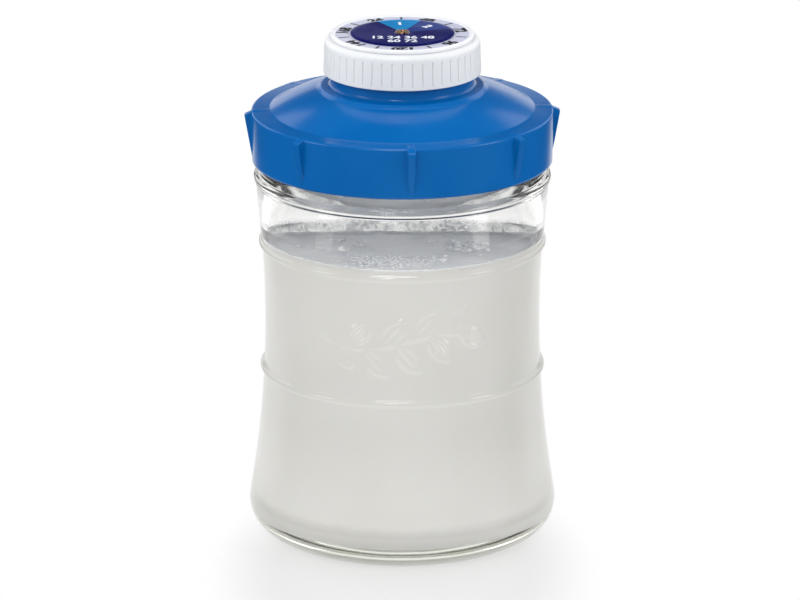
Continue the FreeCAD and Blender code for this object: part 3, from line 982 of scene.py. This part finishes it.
@dataclass
class Kefir:
    """The kefir: its body against the glass, its surface, froth on it and the film above it."""

    jar: GlassJar
    into_glass: float = 0.15
    creep: float = 1.3
    creep_width: float = 2.6
    creep_round: float = 3.4
    surface_rings: int = 23
    film_height: float = 9.0
    seed: int = 7
    clusters: Sequence[BubbleCluster] = (
        BubbleCluster(22.0, 0.0, (9.0, 20.0), 30, (0.6, 1.7)),
        BubbleCluster(10.0, 16.0, (5.0, 8.0), 9, (0.5, 1.3)),
        BubbleCluster(-19.5, -6.0, (0.5, 0.5), 1, (2.2, 2.3)),
        BubbleCluster(-22.7, 15.0, (2.0, 3.0), 3, (0.8, 1.3)),
        BubbleCluster(-14.5, 6.0, (2.0, 3.0), 3, (0.8, 1.4)),
        BubbleCluster(-17.0, 9.0, (7.0, 12.0), 10, (0.4, 1.2)),
        BubbleCluster(-29.0, -8.0, (6.0, 12.0), 8, (0.3, 0.8)),
        BubbleCluster(-2.0, -26.0, (15.0, 10.0), 520, (0.15, 0.6)),
        BubbleCluster(0.0, 6.0, (36.0, 30.0), 60, (0.1, 0.3)),
    )
    # The body carries painted shade low down.
    against_glass: KefirBody = KefirBody(
        "kefir_body", shade(236, 235, 232), shade(234, 233, 229), 0.5, 0.05, 0.00002, low_shade=0.13
    )
    open_top: KefirBody = KefirBody(
        "kefir_surface", shade(238, 240, 242), shade(206, 209, 213), 0.14, 0.3, 0.00012
    )
    froth: KefirBody = KefirBody(
        "kefir_froth", shade(255, 255, 255), shade(252, 253, 253), 0.05, 1.0, 0.0
    )

    def __post_init__(self) -> None:
        """Takes the level of the kefir from the frame."""
        self.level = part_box("kefir")[1].z / MM

    def build_body(self) -> None:
        """Builds the body with its surface, which creeps up the glass at its edge."""
        side = self.jar.cavity(-self.into_glass, self.level + self.creep)
        flat = side.corners[-1][0] - self.creep_width
        side.arc(flat, self.level, self.creep_round, 6)
        for ring in range(1, self.surface_rings + 1):
            side.to(flat * (1 - ring / self.surface_rings), self.level)
        mesh = turned("kefir_fill", side.points(), even_angles(144))
        for face in mesh.polygons:
            if face.center.z > (self.level - 0.01) * MM:
                face.material_index = 1
        finishes = [self.against_glass.build(), self.open_top.build()]
        Piece("kefir_fill", mesh, finishes, Slot.KEFIR, stands_for="kefir").place()

    def build_froth(self) -> None:
        """Builds the bubbles: domes with a little of their lower half, sunk into the surface."""
        dome = bpy.data.meshes.new("bubble")
        ball = bmesh.new()
        bmesh.ops.create_uvsphere(ball, u_segments=12, v_segments=8, radius=MM)
        bmesh.ops.delete(ball, geom=[v for v in ball.verts if v.co.z < -0.5 * MM], context="VERTS")
        ball.to_mesh(dome)
        ball.free()
        dome.shade_smooth()
        chance = random.Random(self.seed)
        reach = self.jar.waist[0] - self.jar.wall - 3.5
        parts = []
        for cluster in self.clusters:
            smallest, largest = cluster.sizes
            for _ in range(cluster.count):
                x = cluster.across + chance.gauss(0, 0.5) * cluster.spread[0]
                y = cluster.back + chance.gauss(0, 0.5) * cluster.spread[1]
                size = smallest + (largest - smallest) * chance.random() ** 2
                if math.hypot(x, y) > reach:
                    continue
                flat = chance.uniform(0.7, 0.9)
                place = Matrix.Translation(Vector((x, y, self.level)) * MM)
                parts.append((dome, place @ Matrix.Diagonal((size, size, size * flat, 1.0))))
        mesh = joined("kefir_froth", parts)
        Piece("kefir_froth", mesh, [self.froth.build()], Slot.KEFIR, weighted=False).place()

    def build_film(self) -> None:
        """Builds the film left on the glass above the surface."""
        low, high = self.level + 0.4, self.level + self.film_height
        finish = MilkFilm("milk_film", shade(236, 237, 236), low * MM, high * MM)
        strip = [corner[:2] for corner in self.jar.cavity(0.03, high).corners if corner[1] > low]
        mesh = turned("milk_film", strip, even_angles(144))
        Piece("milk_film", mesh, [finish.build()], Slot.KEFIR, weighted=False).place()

    def build(self) -> None:
        """Builds every part of the kefir."""
        self.build_body()
        self.build_froth()
        self.build_film()


# --- The lid ---


@dataclass
class ScrewLid:
    """The blue screw lid: skirt with grip fins, shelf, dome, step and pouring neck."""

    skirt_inside: float = 49.95
    skirt_foot: float = 51.3
    skirt_top: float = 51.6
    skirt_steps: int = 25
    edge_round: float = 0.8
    roof: float = 17.5
    seat: float = 15.4
    shelf_inner: float = 45.3
    shelf_rise: float = 0.3
    dome_rise: float = 7.2
    dome_arc: float = 78.0
    step_foot: float = 28.9
    step_rise: float = 1.0
    step_lean: float = 1.2
    cove: float = 1.4
    neck_radius: float = 24.3
    bore_radius: float = 22.3
    plug_radius: float = 43.0
    plug_depth: float = 2.2
    fins: int = 8
    fin_width: float = 2.6
    fin_foot_width: float = 1.0
    fin_taper: float = 4.4
    fin_tip: Point = (54.0, 16.3)
    fin_root: Point = (50.8, 17.7)
    fin_foot: float = 1.1
    fin_side: float = 0.34
    turn: float = 3.4
    finish: MouldedPlastic = MouldedPlastic(
        "lid_blue", shade(0, 92, 165), shade(0, 97, 170), roughness=0.17, specular=0.4
    )

    def __post_init__(self) -> None:
        """Takes the levels of the lid from the frame."""
        low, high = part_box("lid")
        self.foot = low.z / MM
        self.neck_top = (high.z - low.z) / MM

    def skirt(self) -> list[Point]:
        """Draws the outside of the skirt from its foot up and round its top edge, in even steps.

        Returns:
            Radius and level of each point.
        """
        edge = self.roof - self.edge_round
        run = Outline().to(self.skirt_foot, 0.0)
        for step in range(1, self.skirt_steps):
            share = step / self.skirt_steps
            run.to(self.skirt_foot + (self.skirt_top - self.skirt_foot) * share, share * edge)
        run.to(self.skirt_top, edge)
        run.arc(self.skirt_top - self.edge_round, self.roof, self.edge_round, 6)
        return run.points()

    def fin_edge(self, skirt: Sequence[Point]) -> list[Point]:
        """Draws the edge of a fin, with one point for each point of the skirt.

        Args:
            skirt: The outside of the skirt.

        Returns:
            The points of the fin's edge.
        """
        foot = (self.skirt_foot + 0.02, self.fin_foot)
        edge = Outline().to(*foot).to(*self.fin_tip, 0.45).to(*self.fin_root).points(6)
        runs = np.array(edge)
        steps = np.concatenate([[0], np.cumsum(np.hypot(*np.diff(runs, axis=0).T))])
        levels = np.array(skirt)[:, 1]
        first = int(np.searchsorted(levels, self.fin_foot))
        shares = np.linspace(0, steps[-1], len(skirt) - first)
        tail = np.stack([np.interp(shares, steps, runs[:, i]) for i in (0, 1)], -1)
        return [*skirt[:first], *map(tuple, tail.tolist())]

    def outline(self) -> list[Point]:
        """Draws the whole section of the lid, from the foot of its skirt.

        Returns:
            Radius and level of each point.
        """
        dome_foot = self.roof + self.shelf_rise
        step_foot = dome_foot + self.dome_rise
        step_top = step_foot + self.step_rise
        shell = Outline().through(self.skirt())
        shell.to(self.shelf_inner, dome_foot, 3.0)
        shell.arc(self.step_foot, step_foot, self.dome_arc, 22)
        shell.to(self.step_foot - self.step_lean, step_top, 0.35)
        shell.to(self.neck_radius + self.cove, step_top)
        shell.arc(self.neck_radius, step_top + self.cove, -self.cove, 6)
        shell.to(self.neck_radius, self.neck_top, 0.4).to(self.bore_radius, self.neck_top, 0.4)
        shell.to(self.bore_radius, step_top - 0.8)
        shell.arc(self.plug_radius, self.seat + self.plug_depth - 0.1, -self.dome_arc, 14)
        shell.to(self.plug_radius, self.seat, 0.3)
        shell.to(self.skirt_inside, self.seat, 0.5).to(self.skirt_inside, 0.0, 0.3)
        shell.to((self.skirt_inside + self.skirt_foot) / 2, 0.0)
        return shell.points(4)

    def shape_fins(self, grid: Grid) -> None:
        """Draws the skirt out into its fins.

        Args:
            grid: The places of the lid, whose first rows are the skirt.
        """
        skirt = self.skirt()
        edge = np.array(self.fin_edge(skirt))
        rows = len(skirt)
        across = grid.across(self.fins, self.skirt_top, FRONT + self.turn)[:rows]
        taper = np.clip((edge[:, 1] - self.fin_foot) / self.fin_taper, 0.0, 1.0)
        half = (self.fin_foot_width + (self.fin_width - self.fin_foot_width) * taper) / 2
        share = 1 - smooth_step((across - half[:, None] + self.fin_side / 2) / self.fin_side)
        for places, aim in ((grid.radii, edge[:, :1]), (grid.levels, edge[:, 1:])):
            places[:rows] += share * (aim - places[:rows])

    def build(self) -> None:
        """Builds the lid, with its columns close together at the sides of each fin."""
        near = np.concatenate([np.arange(0.0, 0.5, 0.16), np.arange(0.52, 1.62, 0.085), [1.9, 2.4]])
        near = np.degrees(np.concatenate([-near[:0:-1], near]) / self.skirt_top)
        between = np.linspace(near[-1], 360.0 / self.fins + near[0], 15)[1:-1]
        angles = repeated_angles(np.concatenate([near, between]), self.fins) + FRONT + self.turn
        mesh = turned("lid_shell", self.outline(), angles, self.shape_fins, True, self.foot)
        Piece("lid_shell", mesh, [self.finish.build()], Slot.LID, stands_for="lid").place()


# --- The cap ---


@dataclass
class RibbedCap:
    """The white screw cap with grip grooves round its skirt."""

    inside: float = 25.2
    foot_radius: float = 26.9
    shoulder_radius: float = 26.5
    shoulder_round: float = 1.9
    depth: float = 10.5
    hole: float = 1.58
    grooves: int = 48
    groove_half: float = 0.42 * 0.62
    groove_depth: float = 0.35
    groove_foot: float = 1.0
    groove_top: float = 9.2
    finish: MouldedPlastic = MouldedPlastic(
        "cap_white", shade(219, 221, 224), shade(223, 225, 227), roughness=0.36, grain=0.0006, glow=0.15
    )

    def __post_init__(self) -> None:
        """Takes the levels of the cap from the frame."""
        low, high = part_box("cap")
        self.foot = low.z / MM
        self.height = (high.z - low.z) / MM

    def outline(self) -> list[Point]:
        """Draws the whole section of the cap, in short steps at both ends of the grooves.

        Returns:
            Radius and level of each point.
        """
        shell = Outline().to((self.inside + self.foot_radius) / 2, 0.0).to(self.foot_radius, 0.0, 0.35)
        top = self.height - self.shoulder_round
        for level in (0.6, 0.85, 1.0, 1.15, 1.4, 2.5, 4.0, 5.5, 7.0, 8.2, 8.8, 9.05, 9.2, 9.35, 9.6):
            share = level / top
            shell.to(self.foot_radius + (self.shoulder_radius - self.foot_radius) * share, level)
        shell.to(self.shoulder_radius, top)
        shell.arc(self.shoulder_radius - self.shoulder_round, self.height, self.shoulder_round, 8)
        shell.to(self.hole, self.height, 0.2).to(self.hole, self.depth, 0.2)
        shell.to(self.inside, self.depth, 0.8).to(self.inside, 0.0, 0.3)
        shell.to((self.inside + self.foot_radius) / 2 - 0.2, 0.0)
        return shell.points(4)

    def shape_grooves(self, grid: Grid) -> None:
        """Sinks the grooves into the skirt.

        Args:
            grid: The places of the cap.
        """
        sunk = 1 - smooth_step(grid.across(self.grooves, self.foot_radius) / self.groove_half)
        ends = smooth_step((grid.levels - self.groove_foot + 0.2) / 0.4)
        ends = ends * smooth_step((self.groove_top - grid.levels + 0.2) / 0.4)
        outside = grid.radii > self.shoulder_radius - 0.4
        grid.radii -= np.where(outside, sunk * ends * self.groove_depth, 0.0)

    def build(self) -> None:
        """Builds the cap, with its columns close together at each groove."""
        near = np.array([-1.0, -0.72, -0.45, -0.2, 0.0, 0.2, 0.45, 0.72, 1.0]) * self.groove_half
        between = np.array([0.3, 0.5, 0.7]) * (360.0 / self.grooves)
        one = np.concatenate([np.degrees(near / self.foot_radius), between])
        angles = repeated_angles(one, self.grooves)
        mesh = turned("cap_shell", self.outline(), angles, self.shape_grooves, True, self.foot)
        Piece("cap_shell", mesh, [self.finish.build()], Slot.CAP, stands_for="cap").place()


# --- The day dial ---


@dataclass
class PrintedMarks:
    """Numbers and bars of ink that lie on a flat face."""

    level: float
    thickness: float = 0.02
    parts: list[tuple[bpy.types.Mesh, Matrix]] = field(default_factory=list)

    def add(self, mesh: bpy.types.Mesh, radius: float, angle: float, turn: float = 0.0) -> None:
        """Lays a mark on the face.

        Args:
            mesh: The mark.
            radius: Radius of its middle.
            angle: Angle of its middle in degrees.
            turn: Turn of the mark from pointing outwards, in degrees.
        """
        spot = Matrix.Rotation(math.radians(angle), 4, "Z")
        spot = spot @ Matrix.Translation((radius * MM, 0, self.level * MM))
        spot = spot @ Matrix.Rotation(-math.pi / 2, 4, "Z")
        self.parts.append((mesh, spot @ Matrix.Rotation(math.radians(turn), 4, "Z")))

    def number(
        self, text: str, radius: float, angle: float, height: float, bold: float, turn: float = 0.0
    ) -> None:
        """Prints a number whose top points outwards.

        Args:
            text: The digits.
            radius: Radius of its middle.
            angle: Angle of its middle in degrees.
            height: Height of the digits.
            bold: How much thicker its strokes are drawn.
            turn: Turn of the digits about their middle, in degrees.
        """
        curve = bpy.data.curves.new("number", "FONT")
        curve.body = text
        curve.size = height * 1.4 * MM
        curve.offset = bold * MM
        curve.extrude = self.thickness / 2 * MM
        curve.align_x = "CENTER"
        curve.align_y = "CENTER"
        holder = bpy.data.objects.new("number", curve)
        mesh = bpy.data.meshes.new_from_object(holder)
        bpy.data.objects.remove(holder)
        self.add(mesh, radius, angle, turn)

    def bar(self, radius: float, angle: float, length: float, width: float, sides: int = 16) -> None:
        """Prints a bar with rounded ends that points outwards.

        Args:
            radius: Radius of its middle.
            angle: Angle of its middle in degrees.
            length: Length from end to end.
            width: Width.
            sides: Straight pieces that stand for both ends together.
        """
        ink = bmesh.new()
        ring = []
        for step in range(sides):
            turn = 2 * math.pi * (step + 0.5) / sides
            shift = math.copysign(max(length - width, 0.0) / 2, math.sin(turn))
            ring.append((width / 2 * math.cos(turn) * MM, (width / 2 * math.sin(turn) + shift) * MM))
        half = self.thickness / 2 * MM
        low = [ink.verts.new((x, y, -half)) for x, y in ring]
        high = [ink.verts.new((x, y, half)) for x, y in ring]
        ink.faces.new(high)
        ink.faces.new(low[::-1])
        for index in range(sides):
            after = (index + 1) % sides
            ink.faces.new((low[index], low[after], high[after], high[index]))
        mesh = bpy.data.meshes.new("bar")
        ink.to_mesh(mesh)
        ink.free()
        self.add(mesh, radius, angle)

    def place(self, name: str, colour: Colour, slot: Slot, body: Body) -> None:
        """Joins the marks into one piece of ink.

        Args:
            name: Name of the piece.
            colour: Colour of the ink.
            slot: Material slot of the record.
            body: Body that the marks ride on.
        """
        ink = MouldedPlastic(name + "_ink", colour, colour, roughness=0.4, depth=0.000004)
        Piece(name, joined(name, self.parts), [ink.build()], slot, body, weighted=False).place()


def disc_print(name: str, colour: Colour, lighter: Colour) -> MouldedPlastic:
    """Glossy print on the disc, in one of its colours."""
    return MouldedPlastic(name, colour, lighter, roughness=0.13, drift=0.012, specular=0.14)


@dataclass
class DayDial:
    """The dial on the cap: a dished base with day numbers, a turning disc and its eyelet."""

    days: int = 7
    first_day: float = 116.7
    rim_width: float = 1.7
    face_level: float = 1.0
    hole: float = 1.58
    number_radius: float = 20.1
    number_height: float = 3.8
    bar_radius: float = 20.4
    bar_width: float = 0.8
    disc_radius: float = 17.7
    disc_number_height: float = 3.2
    disc_rows: Sequence[tuple[str, float]] = (("12 24 36 48", 6.9), ("60 72", 11.6))
    sector_number_radius: float = 11.6
    sectors: Sequence[Point] = ((68.5, 120.0), (17.0, 68.5))
    ink_gap: float = 0.012
    bore: float = 0.9
    lip: float = 0.35
    rim: MouldedPlastic = MouldedPlastic(
        "dial_rim", shade(222, 224, 230), shade(228, 230, 235), roughness=0.22, glow=0.2
    )
    paper: MouldedPlastic = MouldedPlastic(
        "dial_paper", shade(184, 187, 208), shade(195, 197, 216), roughness=0.4, specular=0.3
    )
    disc_prints: Sequence[MouldedPlastic] = (
        disc_print("disc_navy", shade(8, 12, 86), shade(14, 20, 96)),
        disc_print("disc_cyan", shade(0, 122, 184), shade(0, 132, 194)),
        disc_print("disc_slate", shade(30, 48, 118), shade(38, 58, 128)),
    )

    def __post_init__(self) -> None:
        """Takes the sizes of the dial from the frame."""
        low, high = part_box("dial_base")
        self.seat = low.z / MM
        self.rim_top = (high.z - low.z) / MM
        self.radius = high.x / MM
        self.disc_low, self.disc_high = (corner.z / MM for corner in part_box("dial_disc"))
        self.head_low, self.head_high = (corner.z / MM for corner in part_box("dial_eyelet"))
        self.head_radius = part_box("dial_eyelet")[1].x / MM

    def build_base(self) -> None:
        """Builds the base with its rim and the pale printed face."""
        face_edge = self.radius - self.rim_width
        shell = Outline().to(self.hole, 0.0).to(self.radius, 0.0, 0.25)
        shell.to(self.radius, self.rim_top - self.rim_width / 2)
        shell.arc(self.radius - self.rim_width / 2, self.rim_top, self.rim_width / 2, 7)
        shell.arc(face_edge, self.face_level, self.rim_width, 7)
        for ring in range(1, 9):
            shell.to(face_edge + (self.disc_radius - 1.0 - face_edge) * ring / 8, self.face_level)
        shell.to(self.hole, self.face_level)
        mesh = turned("dial_face", shell.points(), even_angles(240), closed=True, lift=self.seat)
        for face in mesh.polygons:
            flat = abs(face.center.z / MM - self.seat - self.face_level) < 0.02
            face.material_index = int(flat and face.normal.z > 0.9)
        finishes = [self.rim.build(), self.paper.build()]
        Piece("dial_face", mesh, finishes, Slot.DIAL_PRINT, stands_for="dial_base").place()

    def build_numbers(self) -> None:
        """Prints the hours that have passed after each day, and bars between the days."""
        step = 360.0 / self.days
        marks = PrintedMarks(self.seat + self.face_level + self.ink_gap)
        for day in range(self.days):
            middle = self.first_day - day * step
            marks.number(str(24 * (day + 1)), self.number_radius, middle, self.number_height, bold=0.3)
            marks.bar(self.bar_radius, middle + step / 2, self.number_height, self.bar_width)
        marks.place("dial_numbers", shade(12, 12, 24), Slot.DIAL_PRINT, Body.BOTTLE)

    def build_disc(self) -> None:
        """Builds the turning disc with its two coloured sectors."""
        disc = Outline().to(self.hole, self.disc_low).to(self.disc_radius, self.disc_low, 0.08)
        disc.to(self.disc_radius, self.disc_high, 0.12)
        for ring in range(1, 12):
            disc.to(self.disc_radius + (self.hole - self.disc_radius) * ring / 11, self.disc_high)
        mesh = turned("disc_face", disc.points(3), even_angles(720), closed=True)
        for face in mesh.polygons:
            angle = math.degrees(math.atan2(face.center.y, face.center.x))
            inside = math.hypot(face.center.x, face.center.y) < (self.disc_radius - 0.05) * MM
            for index, (start, end) in enumerate(self.sectors):
                if start < angle < end and face.normal.z > 0.5 and inside:
                    face.material_index = index + 1
        finishes = [finish.build() for finish in self.disc_prints]
        Piece("disc_face", mesh, finishes, Slot.DISC_PRINT, Body.DIAL, "dial_disc").place()

    def build_disc_marks(self) -> None:
        """Prints plain numbers in white on the disc: one on each sector and two rows of hours."""
        marks = PrintedMarks(self.disc_high + self.ink_gap)
        for index, (start, end) in enumerate(self.sectors):
            marks.number(str(index + 1), self.sector_number_radius, (start + end) / 2, 3.4, bold=0.2)
        for text, radius in self.disc_rows:
            marks.number(text, radius, FRONT, self.disc_number_height, bold=0.12, turn=180.0)
        marks.place("disc_marks", shade(232, 235, 245), Slot.DISC_PRINT, Body.DIAL)

    def build_eyelet(self) -> None:
        """Builds the eyelet with its rolled head and clinched foot."""
        barrel = self.hole - 0.08
        under = self.disc_high + 0.12
        foot_top = self.head_low + self.lip
        shell = Outline().to(self.bore, self.head_low, 0.1).to(self.head_radius, self.head_low, 0.15)
        shell.to(self.head_radius, foot_top, 0.15).to(barrel, foot_top).to(barrel, under)
        shell.to(self.head_radius, under).arc(self.head_radius - self.lip, self.head_high, self.lip, 5)
        shell.to(self.bore + self.lip, self.head_high).arc(self.bore, under, self.lip, 5)
        mesh = turned("eyelet", shell.points(), even_angles(64), closed=True)
        Piece("eyelet", mesh, [SpunBrass().build()], Slot.EYELET, stands_for="dial_eyelet").place()

    def build(self) -> None:
        """Builds every part of the dial."""
        self.build_base()
        self.build_numbers()
        self.build_disc()
        self.build_disc_marks()
        self.build_eyelet()


# --- The studio ---


@dataclass(frozen=True)
class SoftBox:
    """A square or oblong lamp that points at the bottle."""

    name: str
    place: tuple[float, float, float]
    size: Point
    radiance: float

    def build(self) -> None:
        """Hangs the lamp."""
        lamp = bpy.data.lights.new(self.name, "AREA")
        lamp.shape = "RECTANGLE"
        lamp.size, lamp.size_y = self.size
        lamp.energy = self.radiance * math.pi * self.size[0] * self.size[1]
        holder = bpy.data.objects.new(self.name, lamp)
        holder.location = self.place
        aim = Vector((0, 0, 0.09)) - Vector(self.place)
        holder.rotation_euler = aim.to_track_quat("-Z", "Y").to_euler()
        bpy.context.scene.collection.objects.link(holder)


@dataclass
class Studio:
    """Pale floor, white surround, soft lamps and the camera."""

    aim: tuple[float, float, float] = (-0.0008, 0.0, 0.0819)
    distance: float = 2.0
    pitch: float = 17.28
    lens: float = 261.2
    ambient: float = 0.32
    sideways: float = 1.45
    dim: float = 0.03
    wall_sides: Point = (0.32, 0.62)
    wall_top: Point = (0.235, 0.165)
    floor_radii: Sequence[float] = (60.0, 120.0, 240.0, 500.0, 1200.0, 3000.0)
    floor_colour: Colour = (0.6, 0.6, 0.6, 1.0)
    shadow_reach: Point = (0.04, 0.07)
    shadow_squash: float = 0.6
    shadow_shift: float = 0.03
    sheen_sides: Point = (0.16, 0.36)
    sheen_back: Point = (-0.05, 0.1)
    sheen_near: Point = (0.08, 0.14)
    lamps: Sequence[SoftBox] = (
        SoftBox("top_box", (-0.1, -0.4, 1.3), (0.5, 0.3), 8.5),
        SoftBox("left_box", (-1.04, -0.42, 0.5), (0.36, 0.9), 2.0),
        SoftBox("right_box", (1.04, -0.42, 0.5), (0.36, 0.9), 2.6),
        SoftBox("back_left_box", (-1.0, 1.0, 0.65), (1.0, 1.0), 0.95),
        SoftBox("back_right_box", (1.0, 1.0, 0.65), (1.0, 1.0), 0.95),
        SoftBox("front_box", (-0.35, -1.6, 1.3), (0.34, 0.4), 15.0),
    )

    def build_camera(self) -> None:
        """Sets the camera up at the front, looking down a little."""
        camera = bpy.data.cameras.new("camera")
        camera.lens = self.lens
        camera.sensor_width = 36.0
        camera.clip_start, camera.clip_end = 0.05, 50.0
        holder = bpy.data.objects.new("camera", camera)
        lean = math.radians(self.pitch)
        back = Vector((0, -math.cos(lean), math.sin(lean))) * self.distance
        holder.location = Vector(self.aim) + back
        holder.rotation_euler = (math.pi / 2 - lean, 0, 0)
        bpy.context.scene.collection.objects.link(holder)
        bpy.context.scene.camera = holder

    def build_world(self) -> None:
        """Surrounds the bottle with white, of which gloss shows only the wall behind the bottle."""
        world = bpy.data.worlds.new("surround")
        bpy.context.scene.world = world
        world.use_nodes = True
        world.cycles.sampling_method = "NONE"
        world.node_tree.nodes.clear()
        sheet = NodeSheet(world.node_tree)
        ray = sheet.add("LightPath").outputs
        way = sheet.add("SeparateXYZ", {0: sheet.add("TexCoord").outputs["Generated"]}).outputs
        aside = sheet.math("ABSOLUTE", way["X"])
        behind = sheet.math("GREATER_THAN", way["Y"], 0.0)
        wall = sheet.math("MULTIPLY", behind, sheet.ranged(aside, *self.wall_sides, 1.0, 0.0))
        low = sheet.ranged(way["Z"], *self.wall_top)
        shone = sheet.ranged(sheet.math("MULTIPLY", wall, low), 0.0, 1.0, self.dim, 1.0)
        soft = sheet.ranged(aside, 0.0, 1.0, self.ambient, self.sideways)
        lit = sheet.add("Mix", {0: ray["Is Glossy Ray"], 2: soft, 3: shone}).outputs[0]
        direct = sheet.math("MAXIMUM", ray["Is Camera Ray"], ray["Is Transmission Ray"])
        strength = sheet.add("Mix", {0: direct, 2: lit, 3: 1.0}).outputs[0]
        white = sheet.add("Background", {"Color": WHITE, "Strength": strength})
        sheet.tree.links.new(white.outputs[0], sheet.add("OutputWorld").inputs["Surface"])

    def floor_material(self) -> bpy.types.Material:
        """Builds the floor's finish: a painted shadow pool round the bottle, where the grey paper shows
        with its real shadow, and white further out.

        Returns:
            The material.
        """
        sheet = MaterialSheet("floor_white")
        place = sheet.sides()
        across = sheet.math("POWER", place["X"], 2.0)
        shifted = sheet.math("MULTIPLY_ADD", place["Y"], self.shadow_squash, self.shadow_shift)
        along = sheet.math("POWER", shifted, 2.0)
        out = sheet.math("SQRT", sheet.math("ADD", across, along))
        ray = sheet.add("LightPath").outputs
        direct = sheet.math("MAXIMUM", ray["Is Camera Ray"], ray["Is Transmission Ray"])
        # Painted shadow: an oval pool, shifted to the front, where the grey paper shows through the
        # white.
        lift = sheet.math("MULTIPLY", direct, sheet.ranged(out, *self.shadow_reach, 0.45, 1.0))
        middle = sheet.ranged(sheet.math("ABSOLUTE", place["X"]), *self.sheen_sides, 1.0, 0.0)
        back = sheet.math("MULTIPLY", middle, sheet.ranged(place["Y"], *self.sheen_back))
        near = sheet.ranged(out, *self.sheen_near, 1.0, 0.0)
        shone = sheet.ranged(sheet.math("MAXIMUM", back, near), 0.0, 1.0, self.dim, 0.95)
        paper = sheet.add("BsdfPrincipled", {
            "Base Color": self.floor_colour,
            "Roughness": 0.7,
            "Specular IOR Level": 0.1,
        })
        white = sheet.add("Emission", {"Color": WHITE, "Strength": 1.0})
        sheen = sheet.add("Emission", {"Color": WHITE, "Strength": shone})
        seen = sheet.add("MixShader", {0: lift, 1: paper.outputs[0], 2: white.outputs[0]})
        ways = {0: ray["Is Glossy Ray"], 1: seen.outputs[0], 2: sheen.outputs[0]}
        material = sheet.finished(sheet.add("MixShader", ways))
        material.cycles.emission_sampling = "NONE"
        return material

    def build_floor(self) -> None:
        """Lays the floor under the bottle."""
        rings = Outline().through([(radius, 0.0) for radius in (0.0, *self.floor_radii)])
        mesh = turned("floor", rings.points(), even_angles(96), lift=-0.1)
        mesh.materials.append(self.floor_material())
        floor = bpy.data.objects.new("floor", mesh)
        bpy.context.scene.collection.objects.link(floor)

    def build(self) -> None:
        """Builds the studio."""
        bpy.context.scene.view_settings.view_transform = "Standard"
        self.build_camera()
        self.build_world()
        self.build_floor()
        for lamp in self.lamps:
            lamp.build()


def main() -> None:
    """Builds the bottle and its studio."""
    logging.basicConfig(level=logging.INFO, format="%(message)s")
    jar = GlassJar()
    for part in (jar, Kefir(jar), ScrewLid(), RibbedCap(), DayDial(), Studio()):
        part.build()


if __name__ == "__main__":
    main()
